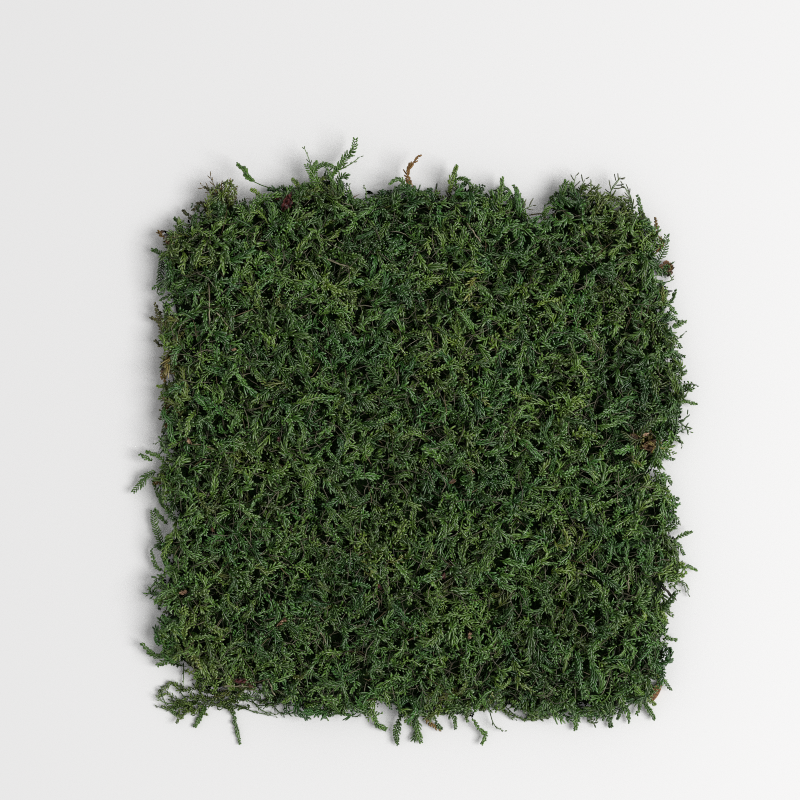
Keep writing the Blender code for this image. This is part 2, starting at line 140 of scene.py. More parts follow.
# Where the moss is dry or yellow-green: pixel, radius in pixels, how brown, and how yellow-green
COLOUR_PLACES = (
    ((165, 356), 10, 0.85, 0.3), ((164, 374), 10, 0.90, 0.3), ((166, 408), 9, 0.75, 0.3),
    ((170, 332), 15, 0.05, 1.0), ((168, 390), 12, 0.05, 1.0), ((176, 256), 16, 0.10, 1.0),
    ((160, 314), 16, 0.35, 0.3), ((163, 234), 8, 0.80, 0.9), ((198, 662), 24, 0.26, 0.3),
    ((242, 681), 12, 0.30, 0.8), ((215, 702), 70, 0.00, 0.8), ((641, 440), 15, 0.80, 0.6),
    ((676, 569), 13, 0.00, 1.0), ((610, 195), 34, 0.25, 0.3), ((322, 186), 14, 0.22, 0.7),
    ((653, 690), 16, 0.00, 1.0), ((214, 305), 8, 0.50, 0.8), ((478, 300), 9, 0.40, 0.3),
    ((450, 581), 12, 0.40, 0.1), ((225, 190), 18, 0.30, 0.5),
)
# The lacy flap at the near left corner: how many strands, their kinds in turn, how many points
# each runs through, and the pixels it lies between
FLAP_STRANDS = 34
FLAP_KINDS = ("olive", "strand", "olive")
FLAP_POINTS = 5
FLAP = ((166, 688), (288, 716))


def at_pixel(x, y, z=0.0):
    """The place of a pixel of the photograph, at a height."""
    return ((x - MIDDLE[0]) * PIXEL, (MIDDLE[1] - y) * PIXEL, z)


def from_pixel(points, pixel):
    """How far these points lie from a pixel of the photograph, seen from above."""
    return np.linalg.norm(points[:, :2] - np.array(at_pixel(*pixel)[:2]), axis=1)


# The stray fronds: kind, and route from the mat's edge to the tip
STRAYS = {
    "frond_far_1": ("dry_twig", (
        (-0.1108, 0.137, 0.01), (-0.1154, 0.147, 0.011), (-0.1189, 0.1546, 0.013),
    )),
    "frond_far_2": ("tail", (
        (-0.0775, 0.1455, 0.015), (-0.09, 0.1495, 0.016), (-0.0965, 0.1535, 0.017),
        (-0.0985, 0.1575, 0.018), (-0.102, 0.1604, 0.017),
    )),
    "frond_far_3": ("strand", (
        (-0.0606, 0.156, 0.009), (-0.0612, 0.1633, 0.01), (-0.0646, 0.1719, 0.012),
    )),
    "frond_far_4": ("feather", (
        (-0.0485, 0.156, 0.009), (-0.0435, 0.161, 0.01), (-0.04, 0.1664, 0.012),
        (-0.0362, 0.169, 0.014), (-0.0346, 0.1757, 0.016),
    )),
    "frond_far_5": ("frond", (
        (0.0237, 0.147, 0.01), (0.0232, 0.156, 0.012), (0.024, 0.1602, 0.014),
    )),
    "frond_far_6": ("frond", (
        (0.0479, 0.14, 0.009), (0.0497, 0.148, 0.01), (0.0508, 0.1535, 0.012),
    )),
    "frond_far_7": ("pale_twig", (
        (0.0923, 0.138, 0.009), (0.092, 0.148, 0.01), (0.0932, 0.1556, 0.012),
    )),
    "frond_far_8": ("pale_twig", (
        (0.1055, 0.135, 0.009), (0.1138, 0.1465, 0.011), (0.1194, 0.1542, 0.013),
    )),
    "frond_far_9": ("pale_twig", (
        (0.1255, 0.129, 0.008), (0.1262, 0.1392, 0.009), (0.1218, 0.148, 0.011),
    )),
    "frond_right_1": ("feather", (
        (0.1402, 0.104, 0.007), (0.145, 0.112, 0.008), (0.1464, 0.1206, 0.009),
    )),
    "frond_right_2": ("frond", (
        (0.1452, 0.0796, 0.008), (0.1494, 0.083, 0.008), (0.1514, 0.0884, 0.009),
    )),
    "frond_right_3": ("frond", (
        (0.15, 0.0672, 0.008), (0.1535, 0.0688, 0.008), (0.1572, 0.0704, 0.009),
    )),
    "frond_right_4": ("frond", (
        (0.152, 0.029, 0.008), (0.1562, 0.0306, 0.008), (0.16, 0.0334, 0.009),
    )),
    "frond_right_5": ("frond", (
        (0.151, 0.0237, 0.006), (0.1575, 0.0242, 0.006), (0.164, 0.0228, 0.006),
    )),
    "frond_right_6": ("spur", (
        (0.152, 0.0133, 0.006), (0.1562, 0.0108, 0.005), (0.1604, 0.0063, 0.005),
    )),
    "frond_right_7": ("frond", (
        (0.148, 0.004, 0.004), (0.152, 0.0025, 0.004), (0.1556, 0.0004, 0.004),
    )),
    "frond_right_8": ("frond", (
        (0.1515, -0.0556, 0.007), (0.1565, -0.0532, 0.008), (0.1608, -0.0517, 0.008),
    )),
    "frond_right_9": ("frond", (
        (0.1515, -0.0733, 0.007), (0.158, -0.072, 0.006), (0.164, -0.0741, 0.005),
    )),
    "frond_right_10": ("strand", (
        (0.152, -0.08, 0.003), (0.1588, -0.0826, 0.003), (0.16, -0.0892, 0.002),
    )),
    "frond_right_11": ("frond", (
        (0.144, -0.1142, 0.006), (0.1482, -0.114, 0.006), (0.152, -0.115, 0.006),
    )),
    "frond_near_1": ("frond", (
        (-0.1073, -0.151, 0.003), (-0.105, -0.164, 0.002), (-0.1022, -0.1757, 0.002),
    )),
    "frond_near_2": ("frond", (
        (-0.1235, -0.152, 0.003), (-0.1252, -0.1598, 0.002), (-0.1277, -0.1654, 0.002),
    )),
    "frond_near_3": ("strand", (
        (-0.096, -0.15, 0.003), (-0.089, -0.1566, 0.003), (-0.0796, -0.1592, 0.002),
    )),
    "frond_near_4": ("frond", (
        (-0.0237, -0.156, 0.006), (-0.0222, -0.1636, 0.005), (-0.0168, -0.1664, 0.004),
    )),
    "frond_near_5": ("frond", (
        (-0.0085, -0.162, 0.006), (-0.0098, -0.1692, 0.005), (-0.0106, -0.1752, 0.004),
    )),
    "frond_near_6": ("feather", (
        (0.0025, -0.162, 0.004), (0.0014, -0.169, 0.003), (-0.0006, -0.1737, 0.003),
    )),
    "frond_near_7": ("frond", (
        (0.011, -0.159, 0.005), (0.013, -0.164, 0.004), (0.0152, -0.167, 0.004),
    )),
    "frond_near_8": ("frond", (
        (0.0325, -0.159, 0.007), (0.0377, -0.1668, 0.005), (0.041, -0.1705, 0.004),
        (0.0392, -0.1755, 0.004),
    )),
    "frond_near_9": ("strand", (
        (0.043, -0.154, 0.006), (0.0464, -0.1646, 0.005), (0.0526, -0.1686, 0.004),
    )),
    "frond_near_10": ("frond", (
        (0.094, -0.156, 0.005), (0.0936, -0.1626, 0.004), (0.0942, -0.1664, 0.004),
    )),
    "frond_near_11": ("frond", (
        (0.111, -0.156, 0.005), (0.113, -0.1616, 0.004), (0.1148, -0.1652, 0.004),
    )),
    "frond_near_12": ("frond", (
        (0.131, -0.145, 0.005), (0.1362, -0.1544, 0.004), (0.14, -0.1604, 0.003),
    )),
    "frond_left_1": ("frond", (
        (-0.153, -0.0108, 0.007), (-0.1562, -0.009, 0.008), (-0.1597, -0.007, 0.009),
    )),
    "frond_left_2": ("feather", (
        (-0.15, -0.017, 0.006), (-0.156, -0.0192, 0.007), (-0.159, -0.0232, 0.006),
        (-0.164, -0.0284, 0.005),
    )),
    "frond_left_3": ("frond", (
        (-0.144, -0.048, 0.006), (-0.1482, -0.0436, 0.006), (-0.1512, -0.0388, 0.007),
    )),
    "frond_left_4": ("strand", (
        (-0.1505, -0.082, 0.005), (-0.1544, -0.0852, 0.004), (-0.1562, -0.0896, 0.003),
    )),
    "frond_left_5": ("frond", (
        (-0.145, -0.1252, 0.005), (-0.1529, -0.1229, 0.006), (-0.1591, -0.1172, 0.007),
    )),
    "withered_frond": ("withered", (
        (-0.001, 0.148, 0.01), (-0.004, 0.1545, 0.011), (-0.0036, 0.1592, 0.013),
        (0.0022, 0.166, 0.014),
    )),
}


# How fronds of each kind grow. Shoots: their reach, distance apart (pitch), looseness, curl,
# hang and thickness (stout). Stem: its thickness (stalk) and the share with no shoots (foot).
# Colour: how bare like a stem, how brown, how yellow-green (fresh) and how light (tone)
USUAL = {
    "reach": 0.0014, "pitch": 0.00075, "loose": 0.18, "curl": 1.0, "hang": -0.2, "stout": 1.0,
    "stalk": 1.0, "foot": 0.06, "stem": 0.0, "brown": 0.0, "fresh": 0.45, "tone": 0.22,
}
KINDS = {
    "frond": {},
    "tail": {"foot": 0.34, "pitch": 0.00065, "reach": 0.0017, "stalk": 0.75},
    "feather": {"reach": 0.0026, "pitch": 0.00070, "loose": 0.12, "curl": 0.5, "stout": 0.9},
    "strand": {
        "reach": 0.0011, "pitch": 0.0022, "loose": 0.35, "stout": 0.6, "stalk": 0.85, "stem": 0.4,
    },
    "pale_twig": {
        "reach": 0.0044, "pitch": 0.0033, "curl": 0.35, "stout": 0.68, "stalk": 0.80, "stem": 0.80,
        "fresh": 0.6,
    },
    "dry_twig": {
        "reach": 0.0030, "pitch": 0.0020, "curl": 0.7, "stout": 0.6, "stalk": 0.7, "stem": 0.6,
        "brown": 0.6,
    },
    "dry": {"loose": 0.25, "stem": 0.1, "brown": 0.85, "fresh": 0.8},
    "dark": {
        "loose": 0.30, "stalk": 0.9, "stem": 0.60, "brown": 0.25, "fresh": 0.3, "tone": 0.05,
    },
    "withered": {
        "reach": 0.0018, "pitch": 0.0006, "loose": 0.35, "stem": 0.2, "brown": 1.0, "tone": 0.35,
    },
    "bright": {"reach": 0.0016, "stout": 1.1, "fresh": 1.0, "tone": 0.40},
    "olive": {
        "reach": 0.0013, "loose": 0.35, "stout": 0.8, "stalk": 0.6, "brown": 0.08, "fresh": 0.7,
        "tone": 0.10,
    },
    "spur": {
        "reach": 0.0028, "pitch": 0.0016, "curl": 0.6, "stout": 0.8, "stem": 0.3, "fresh": 0.3,
    },
}
# The mat's own sprigs around its edge: kind, heights of foot and tip in mm, route in pixels
EDGE_SPRIGS = (
    ("dry_twig", 11, 14, (219, 200), (220, 189), (230, 182)),
    ("dry_twig", 11, 13, (214, 196), (208, 190), (201, 185)),
    ("dark", 11, 14, (226, 206), (228, 194), (231, 182)),
    ("dark", 11, 13, (230, 208), (234, 198), (236, 187)),
    ("dark", 11, 13, (222, 204), (216, 192), (206, 188)),
    ("dark", 10, 7, (208, 214), (201, 202), (193, 209)),
    ("dark", 9, 8, (196, 224), (188, 216), (183, 210)),
    ("frond", 9, 8, (184, 232), (178, 223), (174, 218)),
    ("feather", 12, 17, (322, 196), (316, 180), (307, 166)),
    ("frond", 13, 18, (308, 180), (322, 165), (337, 169)),
    ("frond", 13, 17, (312, 190), (312, 172), (317, 163)),
    ("frond", 13, 17, (332, 196), (333, 182), (326, 168)),
    ("feather", 12, 16, (336, 194), (340, 178), (347, 177)),
    ("frond", 13, 18, (326, 180), (336, 172), (345, 160)),
    ("strand", 14, 17, (338, 170), (350, 165), (361, 157)),
    ("bright", 12, 14, (305, 202), (299, 188), (293, 180)),
    ("bright", 12, 14, (262, 206), (258, 194), (252, 190)),
    ("strand", 11, 13, (350, 202), (350, 193), (349, 185)),
    ("strand", 11, 13, (366, 204), (366, 192), (363, 185)),
    ("frond", 12, 14, (412, 199), (401, 180), (390, 184)),
    ("bright", 11, 15, (449, 196), (451, 181), (456, 168)),
    ("frond", 12, 14, (456, 178), (466, 180), (476, 192)),
    ("frond", 10, 12, (518, 206), (519, 194), (514, 186)),
    ("pale_twig", 9, 10, (520, 212), (526, 208), (533, 205)),
    ("strand", 8, 10, (544, 213), (546, 204), (554, 201)),
    ("feather", 10, 12, (562, 208), (562, 192), (566, 182)),
    ("feather", 10, 12, (574, 210), (573, 194), (571, 184)),
    ("pale_twig", 10, 13, (580, 202), (581, 188), (585, 179)),
    ("pale_twig", 10, 12, (600, 202), (597, 190), (589, 182)),
    ("pale_twig", 9, 12, (610, 200), (612, 188), (621, 176)),
    ("pale_twig", 9, 11, (634, 208), (630, 194), (623, 185)),
    ("frond", 9, 10, (642, 218), (641, 208), (638, 196)),
    ("dry", 8, 8, (650, 236), (657, 228), (656, 218)),
    ("dry", 8, 8, (656, 252), (664, 243), (661, 237)),
    ("dry", 7, 5, (660, 268), (668, 262), (673, 267)),
    ("strand", 5, 4, (664, 282), (673, 279), (670, 270)),
    ("strand", 8, 9, (668, 306), (674, 298), (676, 290)),
    ("frond", 9, 8, (664, 300), (671, 306), (677, 313)),
    ("frond", 9, 8, (664, 313), (673, 316), (680, 322)),
    ("frond", 9, 9, (672, 326), (678, 324), (683, 321)),
    ("frond", 9, 8, (667, 332), (675, 339), (682, 347)),
    ("frond", 8, 7, (667, 348), (676, 352), (685, 356)),
    ("strand", 9, 8, (674, 340), (681, 337), (686, 332)),
    ("frond", 9, 8, (674, 380), (681, 376), (687, 371)),
    ("frond", 8, 6, (676, 392), (686, 386), (693, 390)),
    ("spur", 7, 6, (674, 420), (683, 422), (689, 415)),
    ("spur", 7, 5, (674, 436), (684, 430), (691, 430)),
    ("strand", 6, 5, (672, 430), (682, 440), (684, 448)),
    ("frond", 8, 6, (660, 456), (668, 457), (675, 460)),
    ("frond", 8, 6, (660, 474), (668, 477), (673, 484)),
    ("frond", 8, 7, (668, 500), (675, 498), (679, 500)),
    ("strand", 8, 6, (670, 514), (677, 516), (682, 524)),
    ("frond", 7, 4, (672, 540), (680, 545), (686, 555)),
    ("bright", 10, 8, (662, 574), (674, 572), (684, 577)),
    ("bright", 10, 9, (662, 562), (673, 563), (683, 564)),
    ("strand", 4, 3, (676, 584), (684, 583), (690, 596)),
    ("strand", 4, 3, (672, 584), (678, 590), (682, 593)),
    ("frond", 8, 5, (658, 676), (665, 682), (672, 691)),
    ("bright", 9, 6, (640, 694), (649, 700), (656, 706)),
    ("bright", 10, 9, (634, 682), (644, 684), (652, 687)),
    ("bright", 10, 9, (636, 690), (645, 692), (652, 695)),
    ("bright", 10, 8, (636, 676), (646, 676), (655, 678)),
    ("frond", 7, 4, (644, 702), (650, 712), (656, 721)),
    ("frond", 6, 3, (628, 708), (630, 716), (631, 724)),
    ("frond", 6, 3, (606, 706), (611, 718), (612, 729)),
    ("strand", 6, 3, (588, 708), (590, 724), (597, 722)),
    ("frond", 6, 3, (577, 708), (579, 720), (577, 732)),
    ("strand", 4, 2, (505, 708), (525, 722), (558, 719)),
    ("strand", 4, 2, (500, 700), (508, 717), (517, 722)),
    ("strand", 5, 2, (520, 704), (532, 712), (544, 721)),
    ("strand", 5, 2, (552, 706), (548, 716), (536, 722)),
    ("olive", 4, 2, (498, 702), (509, 716), (530, 722), (552, 718), (566, 708)),
    ("olive", 4, 2, (504, 700), (519, 709), (537, 713), (549, 721)),
    ("olive", 4, 2, (550, 700), (557, 709), (548, 716), (530, 720)),
    ("frond", 6, 3, (462, 704), (466, 714), (468, 723)),
    ("frond", 6, 3, (592, 698), (601, 710), (605, 721)),
    ("olive", 5, 3, (586, 702), (589, 716), (596, 726), (600, 714)),
    ("frond", 7, 4, (619, 698), (623, 710), (619, 721)),
    ("frond", 7, 4, (634, 698), (641, 707), (639, 716)),
    ("frond", 6, 3, (453, 712), (455, 722), (456, 731)),
    ("dry", 4, 3, (426, 716), (431, 726), (441, 732)),
    ("feather", 6, 3, (414, 714), (417, 730), (421, 744)),
    ("frond", 6, 3, (404, 714), (397, 726), (395, 737), (398, 747)),
    ("frond", 6, 3, (372, 710), (376, 726), (385, 732)),
    ("strand", 5, 2, (350, 706), (354, 719), (366, 712)),
    ("strand", 5, 2, (326, 706), (334, 715), (349, 718)),
    ("strand", 3, 2, (268, 700), (280, 716), (297, 714)),
    ("strand", 3, 2, (276, 698), (284, 710), (282, 718)),
    ("strand", 3, 2, (240, 700), (254, 702), (268, 706)),
    ("strand", 2, 2, (232, 706), (252, 714), (275, 719)),
    ("olive", 4, 3, (240, 692), (222, 696), (198, 693)),
    ("olive", 3, 2, (246, 700), (224, 704), (204, 700)),
    ("olive", 3, 2, (252, 710), (226, 709), (188, 705)),
    ("olive", 3, 2, (212, 698), (198, 689), (184, 693), (172, 685), (160, 690)),
    ("olive", 3, 2, (204, 706), (190, 699), (178, 704), (166, 696), (157, 699)),
    ("strand", 2, 1, (196, 712), (182, 709), (168, 713), (154, 709)),
    ("frond", 2, 1, (186, 706), (170, 712), (180, 721)),
    ("strand", 3, 2, (158, 690), (162, 702), (168, 714)),
    ("strand", 3, 2, (176, 690), (184, 702), (188, 710)),
    ("strand", 3, 2, (214, 692), (212, 702), (206, 712)),
    ("strand", 3, 2, (182, 664), (182, 678), (181, 694)),
    ("frond", 3, 2, (206, 708), (199, 718), (193, 729)),
    ("feather", 8, 5, (174, 648), (160, 657), (148, 655)),
    ("feather", 8, 5, (182, 652), (166, 662), (157, 667)),
    ("strand", 4, 3, (186, 660), (176, 664), (165, 666)),
    ("frond", 6, 6, (162, 572), (154, 566), (150, 551)),
    ("feather", 5, 5, (162, 550), (155, 532), (151, 512)),
    ("frond", 5, 4, (170, 516), (160, 504), (151, 482)),
    ("dry", 4, 4, (180, 488), (166, 483), (152, 484)),
    ("frond", 7, 7, (170, 470), (158, 457), (146, 452)),
    ("strand", 6, 5, (166, 444), (160, 442), (153, 444)),
    ("dry", 10, 9, (172, 348), (167, 358), (163, 370)),
    ("dry", 10, 9, (169, 352), (166, 364), (161, 377)),
    ("dry", 9, 8, (171, 362), (165, 372), (164, 384)),
    ("dry", 9, 8, (172, 396), (166, 404), (163, 416)),
    ("dry", 9, 8, (169, 402), (167, 414), (165, 426)),
    ("bright", 11, 9, (178, 394), (168, 388), (157, 386)),
    ("bright", 11, 9, (180, 384), (170, 386), (161, 393)),
    ("bright", 11, 9, (176, 400), (168, 396), (159, 398)),
    ("bright", 12, 10, (180, 346), (170, 340), (160, 337)),
    ("bright", 12, 10, (174, 318), (170, 328), (163, 336)),
    ("bright", 12, 10, (184, 336), (174, 334), (164, 342)),
    ("dark", 9, 8, (170, 330), (160, 318), (154, 304)),
    ("dark", 8, 7, (168, 326), (158, 322), (151, 318)),
    ("dark", 8, 7, (172, 336), (160, 330), (160, 312)),
    ("dark", 6, 5, (168, 340), (160, 346), (154, 341)),
    ("feather", 5, 5, (162, 254), (160, 268), (158, 286)),
    ("strand", 5, 5, (158, 284), (156, 293), (165, 286)),
    ("frond", 8, 7, (178, 300), (168, 296), (160, 300)),
    ("dry", 10, 9, (169, 242), (163, 237), (158, 232)),
    ("frond", 9, 7, (176, 262), (162, 254), (151, 249)),
    ("bright", 11, 9, (188, 262), (176, 256), (168, 252)),
    ("bright", 11, 9, (190, 248), (180, 244), (172, 246)),
)

# The dry stalks and the twig: their ends in pixels
STALKS = (
    ((210.2, 282.7), (211.6, 331.8)),
    ((216.7, 311.6), (233.6, 330.9)),
    ((314.0, 255.1), (350.9, 268.9)),
    ((314.0, 618.9), (336.4, 658.9)),
    ((267.8, 675.8), (276.4, 694.7)),
    ((223.1, 685.2), (254.7, 685.2)),
    ((465.7, 223.2), (480.7, 244.0)),
    ((626.6, 570.6), (626.9, 591.3)),
)
TWIG = ((659.8, 584.4), (676.2, 600.2))
# The scraps of dead leaf, and the leaf beside the mat: pixel, length, width, turn, kind and how
# far the edges curl up
SCRAPS = (
    ((286.9, 204.2), 0.0095, 0.0058, 70.0, "red", 0.6),
    ((172.8, 241.3), 0.0070, 0.0040, 20.0, "tan", 0.5),
    ((646.9, 444.4), 0.0090, 0.0052, 35.0, "brown", 0.4),
    ((469.3, 470.6), 0.0060, 0.0034, 120.0, "tan", 0.9),
    ((282.2, 620.6), 0.0056, 0.0034, 50.0, "tan", 0.8),
    ((241.7, 678.3), 0.0066, 0.0040, 10.0, "red", 0.5),
)
DEAD_LEAF = ((671.4, 268.9), 0.0070, 0.0048, 80.0, "brown", 0.5)
# The small flakes caught in the moss: pixel, length, and kind of leaf
FLAKES = (
    ((235, 350), 0.0030, "tan"), ((191, 441), 0.0042, "tan"), ((297, 461), 0.0030, "tan"),
    ((280, 439), 0.0032, "red"), ((214, 529), 0.0030, "tan"), ((184, 592), 0.0046, "tan"),
    ((380, 585), 0.0040, "red"), ((452, 481), 0.0042, "brown"), ((469, 634), 0.0042, "tan"),
    ((444, 575), 0.0038, "red"), ((456, 587), 0.0034, "red"), ((633, 436), 0.0046, "brown"),
    ((644, 434), 0.0038, "tan"), ((650, 448), 0.0034, "brown"), ((232, 675), 0.0040, "tan"),
    ((252, 685), 0.0040, "brown"), ((160, 231), 0.0038, "brown"), ((168, 239), 0.0036, "tan"),
    ((292, 196), 0.0040, "red"), ((280, 199), 0.0044, "red"), ((165, 400), 0.0030, "tan"),
    ((163, 370), 0.0034, "brown"), ((661, 266), 0.0036, "brown"), ((666, 262), 0.0034, "tan"),
)


# Finishes


class Value:
    """A shader socket that plain arithmetic works on."""

    def __init__(self, finish, socket):
        self.finish = finish
        self.socket = socket

    def maths(self, operation, first, second):
        node = self.finish.node("ShaderNodeMath", {"operation": operation}, {0: first, 1: second})
        return Value(self.finish, node.outputs[0])

    def __radd__(self, other):
        return self.maths("ADD", other, self)

    def __rsub__(self, other):
        return self.maths("SUBTRACT", other, self)

    def __mul__(self, other):
        return self.maths("MULTIPLY", self, other)

    def __rmul__(self, other):
        return self.maths("MULTIPLY", other, self)

    def __pow__(self, other):
        return self.maths("POWER", self, other)


class Finish:
    """A material that is built up node by node."""

    def __init__(self, name, **shine):
        self.material = bpy.data.materials.new(name)
        self.material.use_nodes = True
        self.tree = self.material.node_tree
        self.shader = self.tree.nodes["Principled BSDF"]
        for socket, value in shine.items():
            self.shader.inputs[socket.replace("_", " ")].default_value = value

    def node(self, kind, settings=None, sockets=None):
        """A new node with these settings, and these values or sockets as its inputs."""
        node = self.tree.nodes.new(kind)
        for setting, value in (settings or {}).items():
            setattr(node, setting, value)
        for key, value in (sockets or {}).items():
            self.join(value, node.inputs[key])
        return node

    def join(self, value, socket):
        """Links a socket to another, or gives it a plain value or colour."""
        if isinstance(value, Value):
            value = value.socket
        if isinstance(value, bpy.types.NodeSocket):
            self.tree.links.new(value, socket)
        elif isinstance(value, tuple) and len(value) == 3 and socket.type == "RGBA":
            socket.default_value = (*value, 1.0)
        else:
            socket.default_value = value

    def attribute(self, name):
        """A value that the mesh holds for each of its points."""
        node = self.node("ShaderNodeAttribute", {"attribute_name": name})
        return Value(self, node.outputs["Fac"])

    def place(self):
        """The place on the model, in metres."""
        return self.node("ShaderNodeTexCoord").outputs["Object"]

    def noise(self, size, detail, offset=0.0):
        """Noise from 0 to 1 whose patches are about this many metres across."""
        vector = self.place()
        if offset:
            vector = self.node("ShaderNodeMapping", None, {
                "Vector": vector, "Location": (offset, -offset, 0.5 * offset),
            }).outputs[0]
        node = self.node("ShaderNodeTexNoise", None, {
            "Vector": vector, "Scale": 1.0 / size, "Detail": detail,
        })
        return Value(self, node.outputs["Fac"])

    def step(self, value, low, high):
        """0 below low, 1 above high, and a smooth rise between them."""
        node = self.node("ShaderNodeMapRange", {"interpolation_type": "SMOOTHSTEP"}, {
            "Value": value, "From Min": low, "From Max": high,
        })
        return Value(self, node.outputs["Result"])

    def colours(self, factor, first, second):
        """A colour between two others."""
        node = self.node("ShaderNodeMix", {"data_type": "RGBA"})
        self.join(factor, node.inputs[0])
        self.join(first, node.inputs[6])
        self.join(second, node.inputs[7])
        return node.outputs[2]

    def tint(self, colour, amount):
        """The colour made lighter or darker by a factor."""
        node = self.node("ShaderNodeVectorMath", {"operation": "SCALE"}, {
            "Vector": colour, "Scale": amount,
        })
        return node.outputs[0]

    def paint(self, colour):
        self.join(colour, self.shader.inputs["Base Color"])

    def roughen(self, roughness):
        self.join(roughness, self.shader.inputs["Roughness"])

    def coat(self, weight):
        self.join(weight, self.shader.inputs["Coat Weight"])

    def bump(self, height, distance, strength=1.0):
        node = self.node("ShaderNodeBump", None, {
            "Height": height, "Distance": distance, "Strength": strength,
        })
        self.join(node.outputs["Normal"], self.shader.inputs["Normal"])


def moss_finish():
    """Moss: painted shade deep in the mat, deep green above, pale tips partly of painted
    highlight, and dry parts.
    """
    moss = Finish("moss", Specular_IOR_Level=0.08, Coat_Roughness=0.40, Coat_IOR=2.4)
    along = moss.attribute("along")
    tone = moss.attribute("tone")
    fresh = moss.attribute("fresh")
    depth = moss.attribute("depth")
    withered = moss.attribute("withered")
    stem = moss.attribute("stem")
    deep = moss.colours(fresh, (0.006, 0.048, 0.001), (0.026, 0.068, 0.001))
    bright = moss.colours(fresh, (0.039, 0.152, 0.012), (0.126, 0.211, 0.012))
    live = moss.colours(moss.step(tone, 0.1, 0.9), deep, bright)
    # Pale tips: partly the moss's own paler tips, partly a painted highlight
    pale = moss.colours(fresh, (0.208, 0.306, 0.172), (0.298, 0.350, 0.156))
    live = moss.colours(moss.step(along, 0.36, 1.0) * (0.24 + 0.62 * tone), live, pale)
    # Painted shade: each shoot and stem is darker towards its foot
    live = moss.tint(live, 0.24 + 0.76 * moss.step(along, 0.0, 0.45))
    stalk = moss.colours(tone, (0.008, 0.011, 0.003), (0.152, 0.136, 0.092))
    live = moss.colours(stem, live, stalk)
    dry = moss.colours(tone, (0.080, 0.038, 0.012), (0.320, 0.180, 0.062))
    colour = moss.colours(withered, live, dry)
    # Painted shade: colour goes to near black green with depth under the fronds' tops, partly the
    # real darker old growth low in the mat
    shade = moss.step(depth, -0.05, 0.96)
    colour = moss.colours(shade, colour, (0.0052, 0.0135, 0.0018))
    moss.paint(colour)
    moist = (1.0 - shade) * (1.0 - 0.8 * withered) * (1.0 - 0.7 * stem)
    moss.coat(moist * (0.02 + 0.76 * along ** 1.6))
    moss.roughen(0.55 + 0.3 * depth)
    moss.bump(moss.noise(0.00045, 1.0), 0.0003, 0.8)
    return moss.material


def thatch_finish():
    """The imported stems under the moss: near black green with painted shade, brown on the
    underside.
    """
    thatch = Finish("thatch", Roughness=0.9, Specular_IOR_Level=0.1)
    strands = thatch.noise(0.0010, 3.0)
    mesh = thatch.step(strands, 0.4, 0.7)
    # Painted shade: above the flat underside the stems are near black green; the brown underside
    # is their own colour
    green = thatch.colours(mesh, (0.001, 0.005, 0.0005), (0.009, 0.026, 0.003))
    brown = thatch.colours(mesh, (0.020, 0.015, 0.007), (0.100, 0.068, 0.032))
    height = thatch.node("ShaderNodeSeparateXYZ", None, {"Vector": thatch.place()}).outputs["Z"]
    above = thatch.step(height, UNDERSIDE + HAIR, UNDERSIDE + 0.0002)
    thatch.paint(thatch.colours(above, brown, green))
    thatch.bump(strands, 0.0015)
    return thatch.material


def dead_stem_finish():
    """Dead stems: dark brown to straw, in browner and greener patches, with fine streaks."""
    dead = Finish("dead_stems", Roughness=0.8, Specular_IOR_Level=0.2)
    tone = dead.attribute("tone")
    streaks = dead.noise(0.0005, 2.0)
    brown = dead.colours(tone, (0.040, 0.022, 0.010), (0.250, 0.160, 0.075))
    olive = dead.colours(tone, (0.020, 0.024, 0.009), (0.140, 0.135, 0.060))
    colour = dead.colours(dead.step(dead.noise(0.030, 1.0), 0.42, 0.62), brown, olive)
    dead.paint(dead.tint(colour, 0.6 + 0.8 * streaks))
    dead.bump(streaks, 0.0002, 0.7)
    return dead.material


def litter_finish(name, dark, light, patch, roughness):
    """Dry plant matter: two colours in patches of this size, with fine streaks."""
    litter = Finish(name, Roughness=roughness, Specular_IOR_Level=0.4)
    tone = litter.noise(patch, 3.0)
    streaks = litter.noise(0.0006, 2.0, 1.0)
    colour = litter.colours(litter.step(tone, 0.35, 0.65), dark, light)
    litter.paint(litter.tint(colour, 0.6 + 0.8 * streaks))
    litter.bump(streaks, 0.0003, 0.7)
    return litter.material


# Shoots


